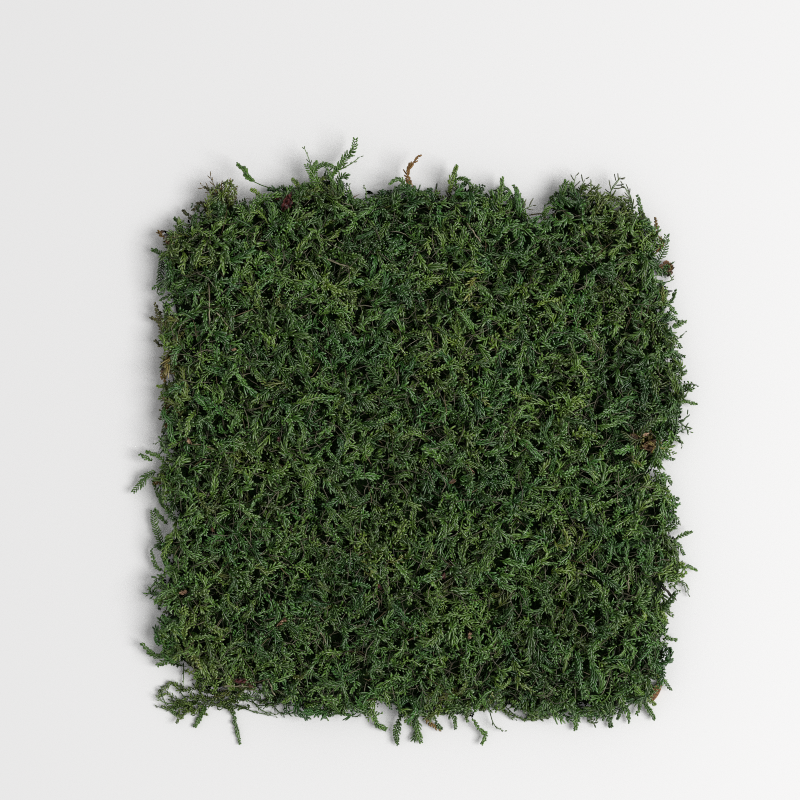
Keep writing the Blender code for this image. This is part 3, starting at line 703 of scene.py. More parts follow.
def shoot_shape(rings, sides=3):
    """A closed tube, pointed at both ends: the ring and side of each vertex, its faces and UVs."""
    bm = bmesh.new()
    ring_of = bm.verts.layers.int.new("ring")
    side_of = bm.verts.layers.int.new("side")
    made = bmesh.ops.create_circle(bm, cap_ends=True, segments=sides, radius=1.0)
    foot = list(made["verts"])
    for side, vert in enumerate(foot):
        vert[side_of] = side
    cap = next(iter(bm.faces))
    for ring in range(1, rings + 1):
        made = bmesh.ops.extrude_face_region(bm, geom=[cap, *cap.edges])["geom"]
        cap = next(item for item in made if isinstance(item, bmesh.types.BMFace))
        for vert in cap.verts:
            vert[ring_of] = ring
            vert.co.z += 1.0
    bmesh.ops.pointmerge(bm, verts=list(cap.verts), merge_co=(0.0, 0.0, rings))
    bmesh.ops.pointmerge(bm, verts=foot, merge_co=(0.0, 0.0, 0.0))
    bmesh.ops.triangulate(bm, faces=bm.faces)
    bmesh.ops.recalc_face_normals(bm, faces=bm.faces)
    bm.verts.index_update()
    ring = np.array([vert[ring_of] for vert in bm.verts])
    side = np.array([vert[side_of] for vert in bm.verts])
    turn = side * (2.0 * math.pi / sides)
    corners = np.array([[vert.index for vert in face.verts] for face in bm.faces])
    # On the map u runs along the tube and v around it. The last strip ends at v = 1, and each
    # end point takes the middle v of its face
    is_end = (ring[corners] == 0) | (ring[corners] == rings)
    v = np.where(is_end, np.nan, side[corners].astype(float))
    crosses_seam = (np.nanmax(v, axis=1) == sides - 1) & (np.nanmin(v, axis=1) == 0)
    v = np.where(crosses_seam[:, None] & (v == 0), float(sides), v)
    v = np.where(is_end, np.nanmean(v, axis=1)[:, None], v) / sides
    bm.free()
    between_ends = (ring > 0) & (ring < rings)
    return {
        "ring": ring, "rings": rings, "corners": corners,
        "cos": np.cos(turn) * between_ends, "sin": np.sin(turn) * between_ends,
        "u": ring[corners] / rings, "v": v,
    }


def unit(vectors):
    """These vectors, each made one long."""
    return vectors / np.maximum(np.linalg.norm(vectors, axis=-1, keepdims=True), 1e-12)


def lay_shoots(shape, paths, radii, up, marks):
    """Tubes of one shape along these paths: (count, rings + 1, 3), with a radius a ring."""
    ring = shape["ring"]
    ahead = np.gradient(paths, axis=1)
    side = unit(np.cross(ahead, up[:, None, :]))
    over = unit(np.cross(ahead, side))
    radii = np.concatenate([radii, np.zeros((len(radii), 1))], axis=1)
    wide = radii[:, ring, None] * shape["cos"][None, :, None]
    high = radii[:, ring, None] * shape["sin"][None, :, None]
    points = paths[:, ring] + side[:, ring] * wide + over[:, ring] * high
    held = {"along": np.broadcast_to(ring / shape["rings"], points.shape[:2])}
    for name, value in marks.items():
        held[name] = np.broadcast_to(np.asarray(value)[:, None], points.shape[:2])
    return {"shape": shape, "points": points, "marks": held}


def pick(batch, chosen):
    """Some of a batch's tubes."""
    marks = {name: values[chosen] for name, values in batch["marks"].items()}
    return {"shape": batch["shape"], "points": batch["points"][chosen], "marks": marks}


def join_shoots(name, batches, finish):
    """One mesh of all the tubes, each with a cell of its own in the UV map."""
    count = sum(len(batch["points"]) for batch in batches)
    cells = math.ceil(math.sqrt(count))
    points, corners, maps = [], [], []
    marks = {mark: [] for mark in batches[0]["marks"]}
    first_point = first_cell = 0
    for batch in batches:
        shape, places = batch["shape"], batch["points"]
        number, each = places.shape[:2]
        starts = first_point + each * np.arange(number)
        points.append(places.reshape(-1, 3))
        corners.append((shape["corners"][None] + starts[:, None, None]).reshape(-1))
        cell = first_cell + np.arange(number)
        left, low = cell % cells, cell // cells
        u = (left[:, None, None] + UV_START + UV_WIDTH * shape["u"][None]) / cells
        v = (low[:, None, None] + UV_START + UV_WIDTH * shape["v"][None]) / cells
        maps.append(np.stack([u, v], axis=-1).reshape(-1))
        for mark in marks:
            marks[mark].append(batch["marks"][mark].reshape(-1))
        first_point += number * each
        first_cell += number
    points = np.concatenate(points)
    points[:, 2] = np.maximum(points[:, 2], LOWEST)
    corners = np.concatenate(corners)
    mesh = bpy.data.meshes.new(name)
    mesh.vertices.add(len(points))
    mesh.vertices.foreach_set("co", points.astype(np.float32).ravel())
    mesh.loops.add(len(corners))
    mesh.loops.foreach_set("vertex_index", corners.astype(np.int32))
    mesh.polygons.add(len(corners) // 3)
    mesh.polygons.foreach_set("loop_start", np.arange(0, len(corners), 3, dtype=np.int32))
    mesh.update(calc_edges=True)
    marks = {mark: np.concatenate(values) for mark, values in marks.items()}
    # How deep each point lies under the fronds' tops, which come down towards the edge; the moss
    # finish paints shade by this depth
    level = np.maximum(margin(points) - drawn_back(points), 0.0)
    level = np.minimum(surface(points), 0.006 + 1.2 * level)
    marks["depth"] = np.clip((level + 0.001 - points[:, 2]) / DARK_DEPTH, 0.0, 1.0)
    for mark, values in marks.items():
        layer = mesh.attributes.new(mark, "FLOAT", "POINT")
        layer.data.foreach_set("value", values.astype(np.float32))
    uvs = mesh.uv_layers.new(name="OFBake").data
    uvs.foreach_set("uv", np.concatenate(maps).astype(np.float32))
    return add_piece(name, mesh, finish)


def add_piece(name, mesh, finish, stands_for=None):
    """A piece of the model with this mesh, in place of a solid where one is named."""
    mesh.shade_smooth()
    mesh.materials.append(finish)
    piece = bpy.data.objects.new(name, mesh)
    bpy.context.scene.collection.objects.link(piece)
    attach(piece, "root")
    if stands_for:
        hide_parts(stands_for)
    return piece


# Tubes in several finenesses
LONG_STEM = shoot_shape(9)
STEM = shoot_shape(6)
CURVED = shoot_shape(4)
SHOOT = shoot_shape(3)
FLECK = shoot_shape(2)
STALK = shoot_shape(9, 6)
# By a side shoot's number of rings: the place of each from foot to tip, and its width
PLACES = {
    4: np.array((0.0, 0.20, 0.58, 0.90, 1.0)),
    3: np.array((0.0, 0.40, 0.88, 1.0)),
    2: np.array((0.0, 0.76, 1.0)),
}
WIDTHS = {
    4: np.array((0.0, 0.85, 1.0, 0.85)),
    3: np.array((0.0, 1.0, 0.9)),
    2: np.array((0.0, 1.1)),
}


# The mat's surface


MAT = BVHTree.FromPolygons(
    [vert.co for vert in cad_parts["moss_mat"].data.vertices],
    [face.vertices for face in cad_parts["moss_mat"].data.polygons],
)
MAT_LOW, MAT_HIGH = (np.array(corner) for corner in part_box("moss_mat"))
CELL = 0.0015


def height_grid():
    """The height of the mat's top over a grid of cells, and 0 beyond its edge."""
    columns, rows = np.ceil((MAT_HIGH - MAT_LOW)[:2] / CELL).astype(int) + 3
    grid = np.zeros((rows, columns))
    down = Vector((0.0, 0.0, -1.0))
    for row in range(rows):
        for column in range(columns):
            x = MAT_LOW[0] + (column - 1) * CELL
            y = MAT_LOW[1] + (row - 1) * CELL
            hit = MAT.ray_cast(Vector((x, y, RAY_HEIGHT)), down)
            if hit[0]:
                grid[row, column] = hit[0].z
    return grid


HEIGHTS = height_grid()


def edge_distance():
    """How far each cell of the grid lies inside the mat's edge, and below 0 outside it."""
    inside = HEIGHTS > 0.0
    edge = np.zeros_like(inside)
    edge[1:-1, 1:-1] = inside[1:-1, 1:-1] & ~(
        inside[:-2, 1:-1] & inside[2:, 1:-1] & inside[1:-1, :-2] & inside[1:-1, 2:])
    rows, columns = np.nonzero(edge)
    tree = KDTree(len(rows))
    for number, (row, column) in enumerate(zip(rows, columns)):
        tree.insert((column * CELL, row * CELL, 0.0), number)
    tree.balance()
    distance = np.zeros_like(HEIGHTS)
    for row in range(HEIGHTS.shape[0]):
        for column in range(HEIGHTS.shape[1]):
            near = tree.find((column * CELL, row * CELL, 0.0))[2]
            distance[row, column] = near if inside[row, column] else -near
    return distance


MARGINS = edge_distance()


def on_grid(grid, points):
    """The grid's value at each point, between its cells."""
    place = (points[:, :2] - MAT_LOW[:2]) / CELL + 1.0
    column = np.clip(place[:, 0], 0.0, grid.shape[1] - 1.001)
    row = np.clip(place[:, 1], 0.0, grid.shape[0] - 1.001)
    left, low = column.astype(int), row.astype(int)
    across, up = column - left, row - low
    lower = grid[low, left] * (1.0 - across) + grid[low, left + 1] * across
    upper = grid[low + 1, left] * (1.0 - across) + grid[low + 1, left + 1] * across
    return lower * (1.0 - up) + upper * up


def surface(points):
    """The height of the mat's top at these points, and 0 beyond its edge."""
    return on_grid(HEIGHTS, points)


def margin(points):
    """How far these points lie inside the mat's edge, and below 0 outside it."""
    return on_grid(MARGINS, points)


def rim(count, height):
    """Points around the mat's side at a height, and the outward directions there."""
    centre = Vector(((MAT_LOW + MAT_HIGH) / 2.0)[:2].tolist() + [height])
    points, outward = [], []
    for step in range(count):
        turn = 2.0 * math.pi * step / count
        away = Vector((math.cos(turn), math.sin(turn), 0.0))
        hit = MAT.ray_cast(centre + away * RAY_REACH, -away)
        normal = Vector((hit[1].x, hit[1].y, 0.0))
        if normal.dot(away) < 0.0:
            normal = -normal
        points.append(hit[0][:])
        outward.append((normal.normalized() if normal.length > 0.1 else away)[:])
    return np.array(points), np.array(outward)


def field(points, size, offset):
    """A smooth field from about -1 to 1 at these points."""
    return np.array([noise.noise(Vector((x / size, y / size, offset))) for x, y in points[:, :2]])


def scattered(rng, spacing):
    """Points spread evenly but irregularly over the mat."""
    size = MAT_HIGH - MAT_LOW
    columns, rows = int(size[0] / spacing), int(size[1] / spacing)
    grid = np.stack(np.meshgrid(np.arange(columns), np.arange(rows)), axis=-1).reshape(-1, 2)
    spots = (grid + rng.uniform(0.0, 1.0, grid.shape)) * spacing + MAT_LOW[:2]
    return spots[surface(spots) > THINNEST]


# Fronds


def stem_paths(fronds, steps):
    """Points along each arching stem, from its foot to its tip."""
    share = (np.arange(steps) + 0.5)[None, :] / steps
    pitch = fronds["rise"][:, None] * (1.0 - share) + fronds["droop"][:, None] * share
    heading = fronds["heading"][:, None] + fronds["sweep"][:, None] * (share - 0.4)
    heading = heading + fronds["wave"][:, None] * np.sin(2.0 * math.pi * share)
    step = np.stack([
        np.cos(pitch) * np.cos(heading),
        np.cos(pitch) * np.sin(heading),
        np.sin(pitch),
    ], axis=-1) * (fronds["length"] / steps)[:, None, None]
    start = fronds["foot"][:, None, :]
    return np.concatenate([start, start + np.cumsum(step, axis=1)], axis=1)


def side_shoots(paths, fronds, rng, shoots, simple=False):
    """Two combs of curved shoots along each stem, or of simple ones."""
    count, steps = len(paths), paths.shape[1] - 1
    order = np.arange(shoots)[None, :]
    loose = fronds["loose"][:, None]
    jitter = rng.normal(0.0, 1.0, (5, count, shoots)) * loose
    # Where on its stem each shoot stands, left and right in turn
    bare = fronds["bare"][:, None]
    share = np.clip(bare + (1.0 - bare) * (order + jitter[0]) / (shoots - 1), 0.02, 0.99)
    index = np.minimum((share * steps).astype(int), steps - 1)
    part = (share * steps - index)[..., None]
    rows = np.arange(count)[:, None]
    foot = paths[rows, index] * (1.0 - part) + paths[rows, index + 1] * part
    # The stem's directions there, rolled about the stem
    ahead = unit(paths[rows, index + 1] - paths[rows, index])
    level = unit(np.cross(np.array((0.0, 0.0, 1.0)), ahead))
    above = np.cross(ahead, level)
    roll = (fronds["roll"][:, None] + 0.6 * jitter[1])[..., None]
    across = level * np.cos(roll) + above * np.sin(roll)
    above = above * np.cos(roll) - level * np.sin(roll)
    # Which way each shoot points, how long it is, and how it curls and hangs
    hand = np.where(order % 2, 1.0, -1.0)[..., None]
    spread = (fronds["spread"][:, None] - 0.40 * share + jitter[2])[..., None]
    lift = (0.05 + jitter[3])[..., None]
    away = unit(ahead * np.cos(spread) + across * hand * np.sin(spread) + above * lift)
    long = np.sin(math.pi * (0.22 + 0.66 * share)) ** 0.6
    long = long * fronds["reach"][:, None] * (1.0 + 0.9 * jitter[4])
    curl = ahead * (fronds["curl"][:, None] + jitter[2])[..., None]
    curl = curl + above * (fronds["hang"][:, None] + 1.5 * jitter[3])[..., None]
    thick = SHOOT_RADIUS * fronds["stout"][:, None] * rng.uniform(0.85, 1.15, (count, shoots))
    tone = np.clip(fronds["tone"][:, None] + rng.normal(0.0, 0.14, (count, shoots)), 0.0, 1.0)
    long = np.maximum(long, SHORTEST_SHOOT)
    shapes = [(CURVED, long >= LONG_SHOOT), (SHOOT, long < LONG_SHOOT)]
    if simple:
        shapes = [(FLECK, long > 0.0)]
    batches = []
    for shape, those in shapes:
        t = PLACES[shape["rings"]][None, :, None]
        bend = away[those][:, None, :] * t + curl[those][:, None, :] * t * t
        tubes = foot[those][:, None, :] + bend * long[those][:, None, None]
        widths = thick[those][:, None] * WIDTHS[shape["rings"]]
        marks = {"tone": tone[those], "stem": np.zeros(those.sum())}
        for name in ("withered", "fresh"):
            marks[name] = np.broadcast_to(fronds[name][:, None], (count, shoots))[those]
        batches.append(lay_shoots(shape, tubes, widths, above[those], marks))
    return batches


def stems(paths, fronds, radius=STEM_RADIUS, shape=STEM, bare=0.12):
    """The stems themselves, tapering to their tips, and how bare they look."""
    widths = radius * np.linspace(1.0, 0.75, shape["rings"])[None, :] * np.ones((len(paths), 1))
    return lay_shoots(shape, paths, widths, np.tile((0.0, 0.0, 1.0), (len(paths), 1)), {
        "tone": fronds["tone"], "withered": fronds["withered"], "fresh": fronds["fresh"],
        "stem": np.full(len(paths), bare),
    })


def whole_fronds(fronds, rng, shoots, shape=STEM, simple=False):
    """Stems with their side shoots."""
    paths = stem_paths(fronds, shape["rings"])
    return [
        stems(paths, fronds, shape=shape),
        *side_shoots(paths, fronds, rng, shoots, simple),
    ]


def habit(spots, rng):
    """How the fronds at these spots grow: their tidiness, curl, thickness and colour."""
    count = len(spots)
    size = rng.uniform(0.80, 1.15, count)
    withered = np.where(rng.uniform(0.0, 1.0, count) < 0.015, rng.uniform(0.1, 0.30, count), 0.0)
    fresh = 0.38 + 0.50 * field(spots, 0.009, 21.0) + 0.45 * field(spots, 0.035, 27.0)
    fresh = np.clip(fresh + rng.normal(0.0, 0.15, count), 0.0, 1.0)
    tone = 0.5 + 0.4 * field(spots, 0.013, 5.0) + 0.40 * field(spots, 0.055, 33.0)
    withered = np.maximum(withered, 0.52 * field(spots, 0.014, 51.0) - 0.15)
    for pixel, radius, brown, yellow in COLOUR_PLACES:
        away = from_pixel(spots, pixel) / (radius * PIXEL)
        share = np.clip(1.8 - 1.8 * away, 0.0, 1.0) * rng.uniform(0.5, 1.0, count)
        withered = np.maximum(withered, brown * share)
        fresh = fresh + (yellow - fresh) * share
        tone = tone + 0.35 * yellow * share
    roll = rng.normal(0.0, 0.40, count)
    bare = rng.uniform(0.05, 0.30, count)
    loose = np.where(rng.uniform(0.0, 1.0, count) < 0.6, 0.14, 0.32)
    return {
        "roll": roll,
        "bare": bare,
        "loose": loose * rng.uniform(0.7, 1.3, count),
        "spread": rng.normal(1.30, 0.18, count),
        "curl": rng.normal(0.90, 0.45, count),
        "hang": rng.normal(-0.40, 0.35, count),
        "reach": SHOOT_LENGTH * size,
        "stout": rng.uniform(0.85, 1.15, count),
        "tone": np.clip(tone + rng.normal(0.0, 0.22, count), 0.02, 0.98),
        "fresh": fresh,
        "withered": withered,
    }


def behind(spots, heading, length):
    """The feet of stems of this heading and length whose middles are over these spots."""
    ahead = np.stack([np.cos(heading), np.sin(heading)], axis=-1)
    return spots - ahead * (length * 0.5)[:, None]


def carpet_fronds(spots, rng, lengths, depths):
    """Fronds that arch over these spots, their feet down in the mat."""
    count = len(spots)
    heading = math.pi * 2.2 * field(spots, 0.035, 3.0) + rng.normal(0.0, 0.8, count)
    length = rng.uniform(*lengths, count)
    tuft = 0.0040 * field(spots, 0.013, 8.0) + 0.0032 * field(spots, 0.032, 12.0)
    level = surface(spots) - rng.uniform(*depths, count) + tuft
    fronds = habit(spots, rng)
    fronds.update({
        "foot": np.column_stack([behind(spots, heading, length), level]),
        "heading": heading,
        "sweep": rng.normal(0.0, 1.7, count),
        "length": length,
        "wave": rng.normal(0.0, 0.80, count),
        "rise": rng.uniform(0.40, 1.15, count),
        "droop": rng.uniform(-1.00, 0.15, count),
    })
    return fronds


def zones(points):
    """Which quarter of the mat each point is in."""
    return (points[:, 0] > ZONE_CORNER[0]).astype(int) + 2 * (points[:, 1] > ZONE_CORNER[1])


def drawn_back(points):
    """How much further in the moss ends near these points than the mat's own edge."""
    extra = np.zeros(len(points))
    for pixel, radius, depth in DRAWN_BACK:
        away = from_pixel(points, pixel)
        extra = np.maximum(extra, depth * np.clip(1.5 - 1.5 * away / radius, 0.0, 1.0))
    return extra


def contained(fronds, rng, inset=0.0):
    """The fronds that stay low and whose tips end inside a ragged line around the mat's edge."""
    paths = stem_paths(fronds, STEM["rings"])
    feet, tips = paths[:, 0], paths[:, -1]
    ragged = EDGE_MARGIN + inset - rng.exponential(0.0016, len(tips))
    ragged = ragged - 0.008 * np.maximum(field(tips, 0.008, 41.0), 0.0)
    inside = margin(tips) > ragged + drawn_back(tips)
    inside &= margin(feet) > inset + drawn_back(feet)
    inside &= paths[:, :, 2].max(axis=1) < HIGHEST
    return {name: values[inside] for name, values in fronds.items()}


def bare_stems(rng):
    """Long thin stems that cross between the fronds."""
    spots = scattered(rng, BARE_SPACING)
    count = len(spots)
    heading = rng.uniform(0.0, 2.0 * math.pi, count)
    length = rng.uniform(0.008, 0.024, count)
    level = surface(spots) - rng.uniform(-0.0010, 0.0050, count)
    stray = {
        "foot": np.column_stack([behind(spots, heading, length), level]),
        "heading": heading,
        "sweep": rng.normal(0.0, 0.7, count),
        "length": length,
        "wave": rng.normal(0.0, 0.4, count),
        "rise": rng.normal(0.15, 0.25, count),
        "droop": rng.normal(-0.15, 0.25, count),
        "tone": rng.uniform(0.1, 1.0, count) ** 1.5,
        "fresh": rng.uniform(0.0, 1.0, count),
        "withered": np.where(
            rng.uniform(0.0, 1.0, count) < 0.07, rng.uniform(0.1, 0.4, count), 0.0),
    }
    stray = contained(stray, rng, inset=0.005)
    return stems(stem_paths(stray, CURVED["rings"]), stray, BARE_RADIUS, CURVED, bare=1.0)


def carpet(rng, moss):
    """Fronds all over the mat, others under them and bare stems, in four zones."""
    spots = scattered(rng, FROND_SPACING)
    spots = spots[field(spots, 0.012, 8.0) + rng.normal(0.0, 0.10, len(spots)) > -0.42]
    fronds = carpet_fronds(spots, rng, lengths=(0.012, 0.023), depths=(0.001, 0.005))
    batches = whole_fronds(contained(fronds, rng), rng, shoots=18)
    spots = scattered(rng, UNDER_SPACING)
    fronds = carpet_fronds(spots, rng, lengths=(0.013, 0.022), depths=(0.003, 0.0062))
    batches += whole_fronds(contained(fronds, rng), rng, shoots=16, shape=CURVED, simple=True)
    batches.append(bare_stems(rng))
    for number, name in enumerate(("near_left", "near_right", "far_left", "far_right")):
        chosen = [pick(batch, zones(batch["points"].mean(axis=1)) == number) for batch in batches]
        join_shoots("moss_" + name, chosen, moss)


def fringe(rng, moss):
    """Fronds that hang out all around the mat's edge, over its side."""
    batches = []
    for count, height, rise, droop, shoots in FRINGE:
        points, outward = rim(count, height)
        turn = np.arctan2(outward[:, 1], outward[:, 0]) + rng.normal(0.0, 0.8, count)
        length = rng.uniform(0.010, 0.018, count)
        ahead = np.stack([np.cos(turn), np.sin(turn), np.zeros(count)], axis=-1)
        inside = length * rng.uniform(0.70, 1.15, count) + drawn_back(points)
        foot = points - ahead * inside[:, None]
        foot[:, 2] = height + rng.uniform(-0.004, 0.004, count)
        fronds = habit(points, rng)
        fronds.update({
            "foot": foot,
            "heading": turn,
            "sweep": rng.normal(0.0, 0.9, count),
            "length": length,
            "wave": rng.normal(0.0, 0.45, count),
            "rise": rng.normal(rise, 0.25, count),
            "droop": rng.normal(droop, 0.30, count),
        })
        fronds["tone"] *= 0.85
        fronds = contained(fronds, rng)
        batches += whole_fronds(fronds, rng, shoots, CURVED)
    batches += edge_sprigs(rng)
    join_shoots("moss_edge", batches, moss)


def thatch():
    """The body under the fronds, dark with painted shade, drawn in from the mat's own surface."""
    bm = bmesh.new()
    bm.from_mesh(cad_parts["moss_mat"].data)
    bmesh.ops.remove_doubles(bm, verts=bm.verts, dist=1e-6)
    bmesh.ops.recalc_face_normals(bm, faces=bm.faces)
    places = np.array([vert.co for vert in bm.verts])
    insets = THATCH_INSET + 1.1 * drawn_back(places)
    # Each point is moved in across the edge, and a little towards the middle
    for _ in range(THATCH_MOVES):
        short = np.clip(insets - margin(places), 0.0, LONGEST_MOVE)
        rises = [margin(places + step) - margin(places - step) for step in CELL * np.eye(3)[:2]]
        inward = unit(np.stack([*rises, np.zeros(len(places))], axis=-1))
        inward = unit(inward - 0.5 * unit(places * (1.0, 1.0, 0.0)))
        places = places + inward * short[:, None]
    # The top comes down to the edge on a slope
    slope = 0.0020 + 0.9 * np.maximum(margin(places) - insets, 0.0)
    ceiling = np.minimum(surface(places) - THATCH_DEPTH, slope)
    for vert, place, top in zip(bm.verts, places, ceiling):
        height = min(vert.co.z - THATCH_DEPTH, top) if vert.co.z > 0.002 else 0.0
        vert.co = (place[0], place[1], max(height, UNDERSIDE))
    bmesh.ops.dissolve_degenerate(bm, edges=bm.edges, dist=1e-5)
    mesh = bpy.data.meshes.new("thatch")
    bm.to_mesh(mesh)
    bm.free()
    add_piece("thatch", mesh, thatch_finish(), "moss_mat")
    for face in mesh.polygons:
        top = max(mesh.vertices[corner].co.z for corner in face.vertices)
        face.use_smooth = top > UNDERSIDE + HAIR


def underside(rng):
    """Matted dead stems that the mat lies on."""
    spots = scattered(rng, DEAD_SPACING)
    count = len(spots)
    heading = rng.uniform(0.0, 2.0 * math.pi, count)
    length = rng.uniform(0.020, 0.050, count)
    feet = behind(spots, heading, length) * (1.0 - DEAD_INSET / HALF_SIDE)
    fronds = {
        "foot": np.column_stack([feet, rng.uniform(0.0005, 0.0011, count)]),
        "heading": heading,
        "sweep": rng.normal(0.0, 1.2, count),
        "length": length,
        "wave": rng.normal(0.0, 0.4, count),
        "rise": np.zeros(count),
        "droop": np.zeros(count),
        "tone": rng.uniform(0.2, 0.9, count),
        "fresh": np.zeros(count),
        "withered": rng.uniform(0.6, 1.0, count),
    }
    tubes = stems(stem_paths(fronds, STEM["rings"]), fronds, DEAD_RADIUS, bare=1.0)
    join_shoots("dead_stems", [tubes], dead_stem_finish())


def smooth_route(points, count):
    """count points, evenly shared out along a smooth curve through the given ones."""
    ends = np.array(points)
    padded = np.concatenate([2.0 * ends[:1] - ends[1:2], ends, 2.0 * ends[-1:] - ends[-2:-1]])
    place = np.linspace(0.0, len(ends) - 1.0, count)
    index = np.minimum(place.astype(int), len(ends) - 2)
    t = (place - index)[:, None]
    before, start, end, after = (padded[index + step] for step in range(4))
    return 0.5 * (
        2.0 * start + (end - before) * t
        + (2.0 * before - 5.0 * start + 4.0 * end - after) * t * t
        + (3.0 * start - before - 3.0 * end + after) * t * t * t
    )


def named_frond(kind, route, rng):
    """One frond along its own route, as its kind grows."""
    growth = {**USUAL, **KINDS[kind]}
    paths = smooth_route(route, LONG_STEM["rings"] + 1)[None]
    one = habit(paths[:, -1], rng)
    for name in ("loose", "curl", "hang", "reach", "stout", "fresh"):
        one[name] = np.array([growth[name]])
    one.update({
        "bare": np.array([growth["foot"]]),
        "withered": np.array([growth["brown"]]),
        "roll": one["roll"] * 0.5,
        "tone": one["tone"] * 0.5 + growth["tone"],
    })
    span = np.linalg.norm(np.diff(paths[0], axis=0), axis=1).sum()
    shoots = side_shoots(paths, one, rng, max(5, int(span / growth["pitch"])))
    for batch in shoots:
        batch["marks"]["stem"] = batch["marks"]["stem"] + growth["stem"]
    return [stems(paths, one, STEM_RADIUS * growth["stalk"], LONG_STEM), *shoots]


def edge_sprigs(rng):
    """The mat's own sprigs that show around its edge, and the strands of the lacy flap."""
    batches = []
    for kind, foot, tip, *pixels in EDGE_SPRIGS:
        heights = np.linspace(foot, tip, len(pixels)) * 0.001
        route = [at_pixel(*pixel, height) for pixel, height in zip(pixels, heights)]
        batches += named_frond(kind, route, rng)
    steps = np.linspace(-1.0, 1.0, FLAP_POINTS)
    for number in range(FLAP_STRANDS):
        x, y = rng.uniform(*FLAP)
        if x > 230.0:
            y = min(y, 712.0 - 0.10 * (x - 168.0))
        turn, reach = rng.uniform(-0.9, 0.9), rng.uniform(9.0, 15.0)
        bends = rng.normal(0.0, 3.0, FLAP_POINTS)
        across = x - reach * steps * math.cos(turn) + bends * math.sin(turn)
        along = y + reach * steps * math.sin(turn) + bends * math.cos(turn)
        heights = rng.uniform(0.0010, 0.0045, FLAP_POINTS)
        route = [at_pixel(*place) for place in zip(across, along, heights)]
        batches += named_frond(FLAP_KINDS[number % len(FLAP_KINDS)], route, rng)
    return batches


def strays(rng, moss):
    """The fronds that stray past the edge, each in place of its own solid."""
    for name, (kind, route) in STRAYS.items():
        batches = named_frond(kind, route, rng)
        piece = join_shoots(name.replace("frond", "spray"), batches, moss)
        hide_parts(name)


# Dry stalks, leaves, bark and the twig


def middle_height(name):
    """The height of the middle of the solid of this name."""
    low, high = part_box(name)
    return (low[2] + high[2]) / 2.0


def dry_stalks(rng):
    """The stalks that lie on the tufts, and the dark twig."""
    straw = litter_finish("straw", (0.075, 0.060, 0.032), (0.260, 0.235, 0.150), 0.006, 0.6)
    dark = litter_finish("twig_bark", (0.006, 0.005, 0.003), (0.030, 0.020, 0.012), 0.004, 0.7)
    pieces = [
        ("dry_stalk_%d" % number, "straw_%d" % number, ends, STRAW_RADIUS, straw, "dry_stalk")
        for number, ends in enumerate(STALKS, 1)
    ]
    pieces.append(("twig", "dark_twig", TWIG, TWIG_RADIUS, dark, "twig"))
    for name, title, ends, radius, finish, slot in pieces:
        level = middle_height(name)
        path = smooth_route([at_pixel(*end, level) for end in ends], STALK["rings"] + 1)
        path[1:-1] += rng.normal(0.0, 0.00022, (len(path) - 2, 3))
        widths = radius * rng.uniform(0.75, 1.15, (1, STALK["rings"]))
        marks = {"tone": [0.5], "withered": [1.0], "fresh": [0.0], "stem": [1.0]}
        tube = lay_shoots(STALK, path[None], widths, np.array([(0.0, 0.0, 1.0)]), marks)
        piece = join_shoots(title, [tube], finish)
        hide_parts(name)


def crumpled(bm, length, width, turn, place, seed, curl, steps=(18, 12)):
    """Adds a torn leaf to bm, curled and crumpled, its middle at the place."""
    verts = bmesh.ops.create_grid(
        bm, x_segments=steps[0], y_segments=steps[1], size=1.0, calc_uvs=True)["verts"]
    for vert in verts:
        along, across = vert.co.x, vert.co.y
        hand = math.copysign(1.0, across)
        torn = 0.55 * noise.noise(Vector((along * 3.1, hand * 3.0, seed)))
        torn += 0.30 * noise.noise(Vector((along * 8.0, hand * 5.0, seed)))
        profile = max(0.12, (1.0 - abs(along) ** 3.5) ** 0.5 + torn)
        reach = 1.0 + 0.35 * noise.noise(Vector((across * 3.0, math.copysign(2.0, along), seed)))
        fold = noise.noise(Vector((along * 2.2, across * 1.8, seed + 5.0)))
        crinkle = noise.noise(Vector((along * 6.5, across * 5.5, seed + 9.0)))
        x = along * reach * length * 0.5 + 0.23 * length * crinkle
        y = across * profile * width * 0.5 * (1.0 - 0.3 * curl) + 0.45 * width * fold
        z = curl * (across * profile) ** 2 * width * 0.6
        z += 0.60 * width * fold
        z += 0.20 * width * crinkle
        vert.co = (x, y, z)
    faces = list({face for vert in verts for face in vert.link_faces})
    made = bmesh.ops.solidify(bm, geom=faces, thickness=LEAF_THICKNESS)
    skin = {vert for face in faces for vert in face.verts}
    skin |= {item for item in made["geom"] if isinstance(item, bmesh.types.BMVert)}
    spin = Matrix.Rotation(math.radians(turn), 3, "Z") @ Matrix.Rotation(0.35, 3, "X")
    bmesh.ops.rotate(bm, verts=list(skin), cent=(0.0, 0.0, 0.0), matrix=spin)
    heights = [vert.co.z for vert in skin]
    level = sum(heights) / len(heights)
    middle = max(place[2], level - min(heights) + LOWEST)
    bmesh.ops.translate(bm, verts=list(skin), vec=(place[0], place[1], middle - level))


def finished(bm, name, finish, node=None):
    """Adds the piece that bm holds."""
    bmesh.ops.recalc_face_normals(bm, faces=bm.faces)
    mesh = bpy.data.meshes.new(name)
    bm.to_mesh(mesh)
    bm.free()
    add_piece(name, mesh, finish, node)


